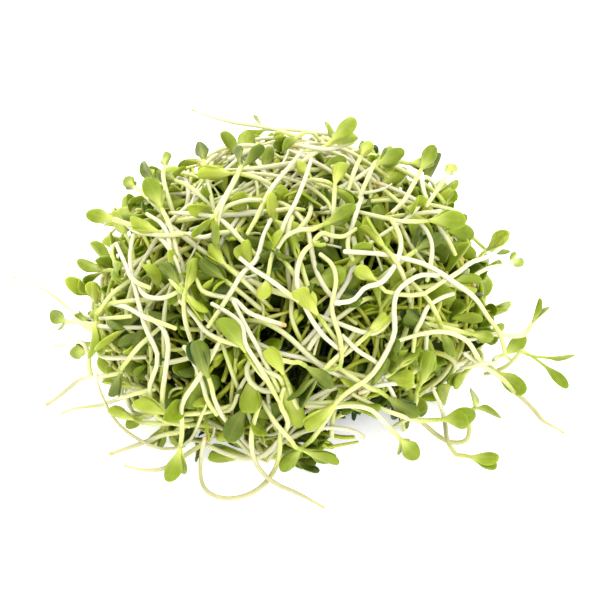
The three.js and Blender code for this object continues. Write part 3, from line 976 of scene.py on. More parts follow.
class Nodes:
    """Adds nodes to a tree and joins them, with few words."""

    def __init__(self, tree: bpy.types.NodeTree) -> None:
        """Starts with an empty tree."""
        self.tree = tree
        tree.nodes.clear()

    def add(self, kind: str, sockets: dict[str | int, object] | None = None, **fields: object) -> bpy.types.Node:
        """A node of a kind, with fields set and sockets set or joined.

        Args:
            kind: the node's type.
            sockets: an input's name or number to a plain value or to another node's output.
            fields: properties of the node.

        Returns:
            The node.
        """
        node = self.tree.nodes.new(kind)
        for name, value in fields.items():
            setattr(node, name, value)
        for key, value in (sockets or {}).items():
            if isinstance(value, Socket):
                self.tree.links.new(value, node.inputs[key])
            else:
                node.inputs[key].default_value = value
        return node

    def math(self, operation: str, a: object, b: object = 0.0, clamp: bool = False) -> Socket:
        """The output of a Math node."""
        return self.add("ShaderNodeMath", {0: a, 1: b}, operation=operation, use_clamp=clamp).outputs[0]

    def mix(self, share: object, a: object, b: object, blend: str = "MIX") -> Socket:
        """A colour: a where share is 0, and b laid over it by the blend where share is 1."""
        fields = {"data_type": "RGBA", "blend_type": blend, "clamp_factor": True}
        return self.add("ShaderNodeMix", {0: share, 6: a, 7: b}, **fields).outputs[2]

    def span(self, value: object, low: float, high: float, to_low: float = 0.0,
             to_high: float = 1.0) -> Socket:
        """A smooth Map Range: low to high becomes to_low to to_high."""
        sockets = {"Value": value, "From Min": low, "From Max": high, "To Min": to_low, "To Max": to_high}
        return self.add("ShaderNodeMapRange", sockets, interpolation_type="SMOOTHSTEP").outputs["Result"]

    def mark(self, name: str, output: str = "Fac") -> Socket:
        """The output of an Attribute node that reads a mesh's mark."""
        return self.add("ShaderNodeAttribute", attribute_name=name).outputs[output]

    def about(self, value: object, mottle: object, amount: float, clamp: bool = False) -> Socket:
        """A value raised and lowered by amount * (mottle - 0.5)."""
        off = self.math("MULTIPLY", self.math("SUBTRACT", mottle, 0.5), amount)
        return self.math("ADD", value, off, clamp)

    def grain(self, scale: float, stretch: Place) -> bpy.types.bpy_prop_collection:
        """Mottling, and streaks that lie closer by the stretch along each way of the grain mark."""
        sockets = {"Grain": self.mark("grain", "Vector"), "Scale": scale, "Stretch": stretch}
        return self.add("ShaderNodeGroup", sockets, node_tree=grain_group()).outputs

    def depth(self, colour: object, shade: Colour, gloom: Colour) -> Socket:
        """A colour with painted shade: times the shade a little way into the heap, and the gloom further in."""
        # the deep mark is how much painted shade a point gets
        sockets = {"Colour": colour, "Deep": self.mark("deep"), "Shade": shade, "Gloom": gloom}
        return self.add("ShaderNodeGroup", sockets, node_tree=painted_shade_group()).outputs["Colour"]

    def surface(self, sockets: dict[str | int, object]) -> None:
        """The tree's one shader with its sockets set or joined, and the material's output."""
        shader = self.add("ShaderNodeBsdfPrincipled", sockets)
        self.add("ShaderNodeOutputMaterial", {"Surface": shader.outputs[0]})


def rgb(red: float, green: float, blue: float) -> Colour:
    """A linear colour from display values of 0 to 255."""
    return tuple(((c / 255 + 0.055) / 1.055) ** 2.4 if c > 10 else c / 3300 for c in (red, green, blue)) + (1.0,)


def linked(name: str, data: bpy.types.ID) -> bpy.types.Object:
    """A new object in the scene.

    Args:
        name: the object's name.
        data: its mesh, light or camera.

    Returns:
        The object.
    """
    obj = bpy.data.objects.new(name, data)
    bpy.context.scene.collection.objects.link(obj)
    return obj


def opened(owner: bpy.types.Material | bpy.types.World) -> Nodes:
    """What adds nodes to a material or a world, starting from an empty tree."""
    owner.use_nodes = True
    return Nodes(owner.node_tree)


def shader_group(name: str, inputs: dict[str, object], outputs: dict[str, str]) -> bpy.types.NodeTree:
    """A new shader node group with its sockets.

    Args:
        name: the group's name.
        inputs: each input's name to its default: a number, a vector of 3 or a colour of 4.
        outputs: each output's name to its socket type, without the NodeSocket before it.

    Returns:
        The group, without nodes.
    """
    tree = bpy.data.node_groups.new(name, "ShaderNodeTree")
    for label, value in inputs.items():
        kind = {0: "Float", 3: "Vector", 4: "Color"}[np.size(value) if np.ndim(value) else 0]
        socket = tree.interface.new_socket(label, in_out="INPUT", socket_type=f"NodeSocket{kind}")
        socket.default_value = value
    for label, kind in outputs.items():
        tree.interface.new_socket(label, in_out="OUTPUT", socket_type=f"NodeSocket{kind}")
    return tree


@cache
def grain_group() -> bpy.types.NodeTree:
    """The mottling and the fine streaks along a skin that both finishes share.

    Returns:
        The shader group, with Grain, Scale and Stretch in, and Mottle and Streak out.
    """
    tree = shader_group("living_grain", {"Grain": (0.0, 0.0, 0.0), "Scale": 1.0, "Stretch": (1.0, 1.0, 1.0)},
                        {"Mottle": "Float", "Streak": "Float"})
    n = Nodes(tree)
    start = n.add("NodeGroupInput").outputs
    mottle = n.add("ShaderNodeTexNoise", {"Vector": start["Grain"], "Scale": start["Scale"],
                                          "Detail": 3.0, "Roughness": 0.55})
    drawn = n.add("ShaderNodeVectorMath", {0: start["Grain"], 1: start["Stretch"]}, operation="MULTIPLY")
    streak = n.add("ShaderNodeTexNoise", {"Vector": drawn.outputs[0], "Scale": start["Scale"],
                                          "Detail": 2.0, "Roughness": 0.6})
    n.add("NodeGroupOutput", {"Mottle": n.span(mottle.outputs[0], 0.3, 0.7),
                              "Streak": n.span(streak.outputs[0], 0.3, 0.7)})
    return tree


@cache
def painted_shade_group() -> bpy.types.NodeTree:
    """The painted shade, yellower and darker down in the heap, that both finishes share.

    Returns:
        The shader group, with Colour, Deep, Shade and Gloom in, and Colour out.
    """
    white = (1.0, 1.0, 1.0, 1.0)
    tree = shader_group("depth_shade", {"Colour": white, "Deep": 0.0, "Shade": white, "Gloom": white},
                        {"Colour": "Color"})
    n = Nodes(tree)
    start = n.add("NodeGroupInput").outputs
    # painted shade: the shade colour a little way under the skin, and the darker gloom colour further in
    shaded = n.mix(n.span(start["Deep"], 0.0, 1.0), start["Colour"], start["Shade"], "MULTIPLY")
    gloomy = n.mix(n.span(start["Deep"], 1.0, 2.4), shaded, start["Gloom"], "MULTIPLY")
    n.add("NodeGroupOutput", {"Colour": gloomy})
    return tree


@dataclass(frozen=True)
class StemFinish:
    """Moist, translucent stems: cream at the root, pale green at the crown, tan at a broken end."""

    name: str = "sprout_stem"
    cream: Colour = rgb(215, 212, 188)
    pale: Colour = rgb(211, 215, 146)
    green: Colour = rgb(154, 170, 48)
    # painted shade: colours the stem is multiplied by a little way into the heap and further in
    shade: Colour = rgb(212, 220, 98)
    gloom: Colour = rgb(112, 124, 36)
    dull: Colour = rgb(224, 222, 208)
    tan: Colour = rgb(208, 168, 112)
    brown: Colour = rgb(164, 108, 60)
    streak: Colour = rgb(222, 222, 176)
    crown_share: float = 0.5
    tint_share: float = 0.66
    mottle_share: float = 0.2
    streak_share: float = 0.22
    roughness: float = 0.38

    def build(self) -> bpy.types.Material:
        """The material.

        Returns:
            Cream that turns pale and then green with the tint and towards the crown, under fine
            streaks, painted shade that grows yellower and darker inside the heap, and the scar at a broken end.
        """
        material = bpy.data.materials.new(self.name)
        n = opened(material)
        grain = n.grain(1.6, (3.0, 3.0, 0.12))
        along, tint, scar = n.mark("along"), n.mark("tint"), n.mark("scar")
        crown = n.math("MULTIPLY", n.span(along, 0.5, 1.0), self.crown_share)
        greener = n.math("ADD", crown, n.math("MULTIPLY", tint, self.tint_share))
        greener = n.about(greener, grain["Mottle"], self.mottle_share, clamp=True)
        colour = n.mix(n.span(greener, 0.0, 0.55), self.cream, self.pale)
        colour = n.mix(n.span(greener, 0.45, 1.1), colour, self.green)
        colour = n.mix(n.math("MULTIPLY", grain["Streak"], self.streak_share), colour, self.streak, "MULTIPLY")
        # painted shade, deeper inside the heap
        colour = n.depth(colour, self.shade, self.gloom)
        colour = n.mix(n.mark("dry"), colour, self.dull, "MULTIPLY")
        colour = n.mix(n.span(scar, 0.05, 0.55), colour, self.tan)
        colour = n.mix(n.span(scar, 0.6, 1.0), colour, self.brown)
        rough = n.span(grain["Mottle"], 0.0, 1.0, self.roughness - 0.08, self.roughness + 0.1)
        bump = n.add("ShaderNodeBump", {"Strength": 0.25, "Distance": 0.00006, "Height": grain["Streak"]})
        n.surface({
            "Base Color": colour, "Roughness": rough, "Normal": bump.outputs[0], "IOR": 1.4,
            "Subsurface Weight": 0.7, "Subsurface Radius": (1.0, 1.0, 0.5), "Subsurface Scale": 0.0016,
            "Specular IOR Level": 0.3,
        })
        return material


@dataclass(frozen=True)
class LeafFinish:
    """Fresh seed leaves: green blades with a paler midrib and stalk, and a duller outer face."""

    name: str = "sprout_leaf"
    dark: Colour = rgb(40, 62, 14)
    mid: Colour = rgb(122, 140, 22)
    bright: Colour = rgb(180, 190, 70)
    stalk: Colour = rgb(206, 213, 112)
    back: Colour = rgb(150, 166, 48)
    # painted shade: colours the leaf is multiplied by a little way into the heap and further in
    shade: Colour = rgb(206, 218, 120)
    gloom: Colour = rgb(130, 156, 50)
    streak: Colour = rgb(206, 210, 160)
    mottle_share: float = 0.16
    back_share: float = 0.3
    rib_share: float = 0.28
    streak_share: float = 0.25
    roughness: float = 0.36

    def build(self) -> bpy.types.Material:
        """The material.

        Returns:
            Green by the tint, paler on the outer face, along the midrib and down the stalk, under
            fine streaks and painted shade that grows darker inside the heap.
        """
        material = bpy.data.materials.new(self.name)
        n = opened(material)
        grain = n.grain(0.55, (2.4, 0.35, 1.0))
        tint = n.mark("tint")
        along, across, inner = n.add("ShaderNodeSeparateXYZ", {0: n.mark("blade", "Vector")}).outputs
        brighter = n.about(tint, grain["Mottle"], self.mottle_share)
        colour = n.mix(n.span(brighter, 0.0, 0.5), self.dark, self.mid)
        colour = n.mix(n.span(brighter, 0.45, 1.05), colour, self.bright)
        outer = n.math("SUBTRACT", 1.0, n.span(inner, 0.35, 0.65))
        colour = n.mix(n.math("MULTIPLY", outer, self.back_share), colour, self.back)
        rib = n.math("SUBTRACT", 1.0, n.span(n.math("ABSOLUTE", across), 0.0, 0.22))
        rib = n.math("MULTIPLY", rib, n.math("SUBTRACT", 0.55, n.math("MULTIPLY", along, 0.45)))
        colour = n.mix(n.math("MULTIPLY", rib, self.rib_share), colour, self.stalk)
        foot = n.math("SUBTRACT", 1.0, n.span(along, 0.05, 0.68))
        foot = n.math("MULTIPLY", foot, n.span(tint, 0.0, 0.6, 0.3, 0.85))
        colour = n.mix(foot, colour, self.stalk)
        colour = n.mix(n.math("MULTIPLY", grain["Streak"], self.streak_share), colour, self.streak, "MULTIPLY")
        # painted shade, deeper inside the heap
        colour = n.depth(colour, self.shade, self.gloom)
        rough = n.span(outer, 0.0, 1.0, self.roughness - 0.06, self.roughness + 0.1)
        bump = n.add("ShaderNodeBump", {"Strength": 0.35, "Distance": 0.00012, "Height": grain["Streak"]})
        n.surface({
            "Base Color": colour, "Roughness": rough, "Normal": bump.outputs[0], "IOR": 1.42,
            "Subsurface Weight": 0.35, "Subsurface Radius": (0.6, 1.0, 0.08), "Subsurface Scale": 0.0012,
            "Specular IOR Level": 0.32,
        })
        return material


@dataclass(frozen=True)
class TableFinish:
    """The plain pale surface under the heap."""

    name: str = "pale_table"
    pale: Colour = rgb(250, 250, 250)
    paler: Colour = rgb(252, 252, 252)
    glow_from: float = 0.02
    glow_to: float = 0.036

    def build(self) -> bpy.types.Material:
        """The material.

        Returns:
            Near white with a breath of unevenness, lit from within outside the heap's own shadow.
        """
        material = bpy.data.materials.new(self.name)
        n = opened(material)
        place = n.add("ShaderNodeTexCoord").outputs["Object"]
        noise = n.add("ShaderNodeTexNoise", {"Vector": place, "Scale": 6.0})
        colour = n.mix(noise.outputs[0], self.pale, self.paler)
        away = n.add("ShaderNodeVectorMath", {0: place}, operation="LENGTH").outputs["Value"]
        glow = n.mix(n.span(away, self.glow_from, self.glow_to), (0.0, 0.0, 0.0, 1.0), (1.0, 1.0, 1.0, 1.0))
        n.surface({"Base Color": colour, "Roughness": 0.9, "Emission Color": glow, "Emission Strength": 0.6})
        return material


class Slot(Enum):
    """The record's material slots."""

    STEM = "stem"
    LEAF = "leaf"


@dataclass
class Wardrobe:
    """The finishes, built once, and the making of dressed pieces."""

    stem: bpy.types.Material
    leaf: bpy.types.Material
    mound: Mound
    LEAST_HEIGHT, BED, BED_EASE = 0.05, 0.6, 0.55
    # painted light and shade: how much less painted shade the top and the cheeks get, and how much more the heart
    BROW_LIGHT, HEART_GLOOM, CHEEK_LIGHT = 0.8, 0.7, 0.65
    # painted shade: where it starts under the skin, how far in it deepens by one step, and its most
    DEEP_FROM, DEEP_STEP, DEEP_MOST = 0.8, 3.4, 2.4
    DRY_OFF, DRY_HIGH = (1.5, 6), (3, 14)
    STEM_CELL, LEAF_CELL = 9.0, 1.2  # how much taller than wide a skin's cell of the map is

    @classmethod
    def build(cls, mound: Mound) -> "Wardrobe":
        """Both finishes."""
        return cls(StemFinish().build(), LeafFinish().build(), mound)

    def piece(self, name: str, loft: Loft, slot: Slot, nodes: list[str]) -> bpy.types.Object:
        """A piece of the object in the scene, standing for CAD nodes.

        Points below the bed are eased up, to b + e * exp((z - B) / e) from the table, so that
        nothing sinks into it. Deep is how much painted shade a point gets: it counts how far in the
        point lies, less on the top and the cheeks, as if light reached them more, and more at the heart.
        Dry counts how far a point trails off the heap near the table.

        Args:
            name: the piece's name.
            loft: its skins.
            slot: which finish it has.
            nodes: the CAD nodes that it replaces.

        Returns:
            The new object, riding on the root body.
        """
        for points in (loft.rings, loft.first, loft.last):
            low = self.LEAST_HEIGHT + self.BED_EASE * np.exp((points[..., 2] - self.BED) / self.BED_EASE)
            points[..., 2] = np.where(points[..., 2] < self.BED, low, points[..., 2])
        m, rings = self.mound, loft.rings
        over = m.over(rings)
        # painted light and shade: the deep mark, painted shade that grows with depth, is less on the top and the
        # cheeks and more at the heart
        gloom = 1 - self.BROW_LIGHT * m.brow(rings) + self.HEART_GLOOM * m.heart(rings)
        gloom = gloom * (1 - self.CHEEK_LIGHT * m.cheek(rings))
        loft.marks["deep"] = np.clip((self.DEEP_FROM - over) / self.DEEP_STEP, 0, self.DEEP_MOST) * gloom
        loft.marks["dry"] = ease(*self.DRY_OFF, over) * (1 - ease(*self.DRY_HIGH, rings[..., 2]))
        mesh = loft.mesh(name, self.STEM_CELL if slot is Slot.STEM else self.LEAF_CELL)
        mesh.materials.append(self.stem if slot is Slot.STEM else self.leaf)
        obj = linked(name, mesh)
        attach(obj, "root")
        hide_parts(*nodes)
        slot.value
        log.info("%s: %d skins, %d faces", name, len(loft.rings), len(mesh.polygons))
        return obj


# ---- the laid sprouts


def welded(name: str) -> tuple[Array, Array]:
    """A CAD node's mesh with its doubles merged.

    Args:
        name: the node.

    Returns:
        Its points, each once, and its edges as pairs of point numbers.
    """
    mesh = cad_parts[name].data
    points = np.empty(len(mesh.vertices) * 3, np.float32)
    mesh.vertices.foreach_get("co", points)
    mesh.calc_loop_triangles()
    tri = np.empty(len(mesh.loop_triangles) * 3, np.int32)
    mesh.loop_triangles.foreach_get("vertices", tri)
    points = points.reshape(-1, 3).astype(float) / MM
    _, first, number = np.unique(np.round(points, 3), axis=0, return_index=True, return_inverse=True)
    tri = number.ravel()[tri.reshape(-1, 3)]
    edges = np.concatenate([tri[:, [0, 1]], tri[:, [1, 2]], tri[:, [2, 0]]])
    edges = np.unique(np.sort(edges, axis=1), axis=0)
    return points[first], edges[edges[:, 0] != edges[:, 1]]


def centreline(name: str) -> tuple[Array, Array]:
    """The middle line of a stem's solid and its radius along it.

    The solid is rings of six points between two poles. A pole has six neighbours and each of
    those only five, and the rings follow from it at one, two, three steps, and so on.

    Args:
        name: the stem's CAD node.

    Returns:
        Points shaped (rings, 3), and radii.
    """
    points, edges = welded(name)
    both = np.concatenate([edges, edges[:, ::-1]])
    valence = np.bincount(both[:, 0], minlength=len(points))
    most = np.zeros(len(points), int)
    np.maximum.at(most, both[:, 0], valence[both[:, 1]])
    pole = np.flatnonzero((valence == 6) & (most == 5))[0]
    level = np.full(len(points), -1)
    level[pole] = 0
    step = 0
    while (level < 0).any():
        reached = both[level[both[:, 0]] == step, 1]
        reached = reached[level[reached] < 0]
        if not len(reached):
            break
        step += 1
        level[reached] = step
    rings = [points[level == i] for i in range(1, level.max())]
    middles = np.array([ring.mean(0) for ring in rings])
    radii = np.array([size_of(ring - ring.mean(0)).mean() for ring in rings])
    return middles, radii


@dataclass
class LaidSprout:
    """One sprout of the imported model: its stem's line and, where it has them, its leaves."""

    name: str
    line: Array
    radii: Array
    leaves: Leaves | None
    COLLAR = 1.07  # from the end of a stem's solid to the middle of the collar
    TIP_FROM = 0.62  # share of the greatest distance from the crown past which points are a tip's
    FOOT = 1.0  # points nearer to the crown than this belong to neither leaf
    BLADE = (0.3, 0.95)  # share of the length that is taken for the width
    HALFWAY, HALFWAY_SPREAD = 0.55, 0.13
    THICKNESS, CUP, TINT = 0.62, 0.12, 0.5
    BLADE_LENGTH, LONGEST_STALK = 7.4, 0.4

    @classmethod
    def read(cls, name: str, middle: Array) -> "LaidSprout":
        """Reads a sprout's solids.

        Args:
            name: the sprout's name, without _stem or _leaves.
            middle: the middle of the heap, for a bare stem's direction.

        Returns:
            The sprout, its line running from the root or the free end to the crown.
        """
        line, radii = centreline(name + "_stem")
        leaves = name + "_leaves"
        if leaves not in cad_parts:
            away = size_of(line[[0, -1]] - middle)
            if away[1] > away[0]:
                line, radii = line[::-1], radii[::-1]
            return cls(name, line, radii, None)
        points, _ = welded(leaves)
        if np.linalg.norm(points.mean(0) - line[0]) < np.linalg.norm(points.mean(0) - line[-1]):
            line, radii = line[::-1], radii[::-1]
        crown = line[-1] + unit(line[-1] - line[-2]) * cls.COLLAR
        line = np.concatenate([line, crown[None]])
        return cls(name, line, np.append(radii, radii[-1]), cls.pair(points, crown))

    @classmethod
    def pair(cls, points: Array, crown: Array) -> Leaves:
        """The two leaves of a solid pair.

        The far points fall into two clusters, one round each tip. A leaf's middle line is the
        parabola from the crown through the middle of its points half way along to its tip. Its
        width runs where its points spread most, square to that line.

        Args:
            points: the pair's points.
            crown: where the leaves join.

        Returns:
            Two leaves.
        """
        away = size_of(points - crown)
        far = points[away > cls.TIP_FROM * away.max()]
        one = points[away.argmax()]
        two = far[size_of(far - one).argmax()]
        for _ in range(4):
            nearer = size_of(far - one) < size_of(far - two)
            one, two = far[nearer].mean(0), far[~nearer].mean(0)
        tips, mids, widths, halves = [], [], [], []
        heads = unit(np.array([one, two]) - crown)
        closer = ((points - crown) @ heads.T).argmax(1)
        for hand in (0, 1):
            mine = points[(closer == hand) & (away > cls.FOOT)]
            tip = mine[size_of(mine - crown).argmax()]
            span = tip - crown
            share = (mine - crown) @ span / (span @ span)
            low, high = cls.BLADE
            blade = mine[(share > low) & (share < high)]
            centred = blade - blade.mean(0)
            centred = centred - np.outer(centred @ unit(span), unit(span))
            width = np.linalg.svd(centred, full_matrices=False)[2][0]
            ring = mine[np.abs(share - cls.HALFWAY) < cls.HALFWAY_SPREAD]
            tips.append(tip)
            mids.append(ring.mean(0) if len(ring) > 3 else crown + span / 2)
            widths.append(width)
            halves.append(np.abs(centred @ width).max())
        tip, mid = np.array(tips), np.array(mids)
        t = np.linspace(0, 1, 9)[None, :, None]
        reach = size_of(mid - crown) / size_of(tip - crown)
        at = np.clip(reach, 0.35, 0.65)[:, None]
        bend = (mid - (1 - at) ** 2 * crown - at**2 * tip) / (2 * at * (1 - at))
        line = (1 - t) ** 2 * crown + 2 * t * (1 - t) * bend[:, None] + t**2 * tip[:, None]
        length = size_of(tip - crown)
        return Leaves(
            line=line,
            width_way=np.array(widths),
            inner=tip[::-1] - tip,
            half=np.array(halves),
            thick=np.full(2, cls.THICKNESS),
            stalk=np.clip((length - cls.BLADE_LENGTH) / length, 0.0, cls.LONGEST_STALK),
            cup=np.full(2, cls.CUP),
            tint=np.full(2, cls.TINT),
        )


@dataclass
class LaidSprouts:
    """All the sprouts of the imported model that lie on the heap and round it."""

    wardrobe: Wardrobe
    middle: Array
    seed: int = 11
    rings: int = 34
    sides: int = 10
    leaf_rings: int = 15
    leaf_sides: int = 18
    sprouts: list[LaidSprout] = field(default_factory=list)
    FINER = 0.84  # the stems drawn, as a share of their solids' radius
    ROOT_FINER = 0.9
    SCAR, BARE_SCAR = 0.3, 0.6
    LEAF_RADII = np.array([0.4, 0.9, 1.0, 0.8])

    def read(self) -> None:
        """Reads every sprout from its solids."""
        names = sorted(n[: -len("_stem")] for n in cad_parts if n.endswith("_stem"))
        self.sprouts = [LaidSprout.read(name, self.middle) for name in names]

    def stretches(self) -> tuple[Array, Array, Array]:
        """What the other sprouts have to lie round.

        Returns:
            Starts, ends and radii of straight stretches.
        """
        starts, ends, thick = [], [], []
        for sprout in self.sprouts:
            starts.append(sprout.line[:-1])
            ends.append(sprout.line[1:])
            thick.append(sprout.radii[:-1])
            if sprout.leaves:
                line = sprout.leaves.line[:, ::2]
                starts.append(line[:, :-1].reshape(-1, 3))
                ends.append(line[:, 1:].reshape(-1, 3))
                thick.append(np.tile(self.LEAF_RADII, 2))
        return np.concatenate(starts), np.concatenate(ends), np.concatenate(thick)

    def build(self) -> None:
        """Makes a stem piece for every sprout, and a piece for each pair of leaves."""
        rng = np.random.default_rng(self.seed)
        for sprout in self.sprouts:
            bare = sprout.leaves is None
            radius = float(np.median(sprout.radii))
            root = float(np.clip(sprout.radii[0] / radius, 0.5, 1)) * self.ROOT_FINER
            stems = Stems(
                line=sprout.line[None],
                radius=np.array([radius * self.FINER]),
                root=np.array([root]),
                scar=np.array([self.BARE_SCAR if bare else self.SCAR]),
                tint=np.array([rng.uniform(0.0, 0.25) if bare else rng.uniform(0.15, 0.6)]),
            )
            loft = stems.loft(self.rings, self.sides, rng)
            self.wardrobe.piece(f"{sprout.name}.stem", loft, Slot.STEM, [f"{sprout.name}_stem"])
            if sprout.leaves:
                leaves = sprout.leaves
                leaves.tint = np.clip(rng.normal(0.5, 0.14) + rng.normal(0, 0.03, 2), 0.1, 0.95)
                loft = leaves.loft(self.leaf_rings, self.leaf_sides, rng)
                self.wardrobe.piece(f"{sprout.name}.leaves", loft, Slot.LEAF, [f"{sprout.name}_leaves"])


# ---- sprouts placed one by one


@dataclass(frozen=True)
class Placed:
    """One sprout that winds over the tangle where it is seen best.

    Attributes:
        run: bearing and rise of points along it, from its root or free end to its crown.
        lift: how far off the skin they are, one for all or each its own.
        radius: of the stem.
        tint: how green the stem is.
        scar: how brown its first end is.
        leaf: the length of its leaves, or 0 for none.
        open: half the angle between them, in degrees.
        green: 0 for dark leaves to 1 for yellow-green ones.
        roll: how far the leaves' opening is turned from straight out of the mound, in degrees.
    """

    run: tuple[tuple[float, float], ...]
    lift: float | tuple[float, ...] = 2.0
    radius: float = 0.5
    tint: float = 0.2
    scar: float = 0.0
    leaf: float = 0.0
    open: float = 5.0
    green: float = 0.6
    roll: float = 0.0

    SHORT = 4  # a run of fewer points is taken on into the mound
    BURIED = (9.0, 6.0)  # how far back and how deep that goes
    ABOVE, HIGH = 1.0, 4.0  # what is added to a lift, and from where it is left as it is
    FINE = 12
    YOUNG = 6.0  # leaves shorter than this are still closed and pale

    def line(self, mound: Mound, knots: int) -> Array:
        """Evenly spread points along the run.

        Args:
            mound: what the run winds over.
            knots: how many points there are.

        Returns:
            Points shaped (knots, 3).
        """
        bearing, rise = np.array(self.run, float).T
        lift = np.broadcast_to(np.array(self.lift, float), bearing.shape)
        points = mound.place(bearing, rise, lift + self.ABOVE * (lift < self.HIGH))
        if len(points) < self.SHORT:
            back, down = self.BURIED
            way = unit(points[0] - points[-1])
            out = mound.out(points[:1])[0]
            start = points[0] + way * back - out * down
            middle = points[0] + way * back * 0.5 - out * down * 0.3
            points = np.concatenate([[start, middle], points])
        fine = resampled(points[None], self.FINE * len(points))[0]
        gone = np.concatenate([[0], np.cumsum(size_of(np.diff(fine, axis=0)))])
        at = np.linspace(0, gone[-1], knots)
        return np.stack([np.interp(at, gone, fine[:, axis]) for axis in range(3)], -1)


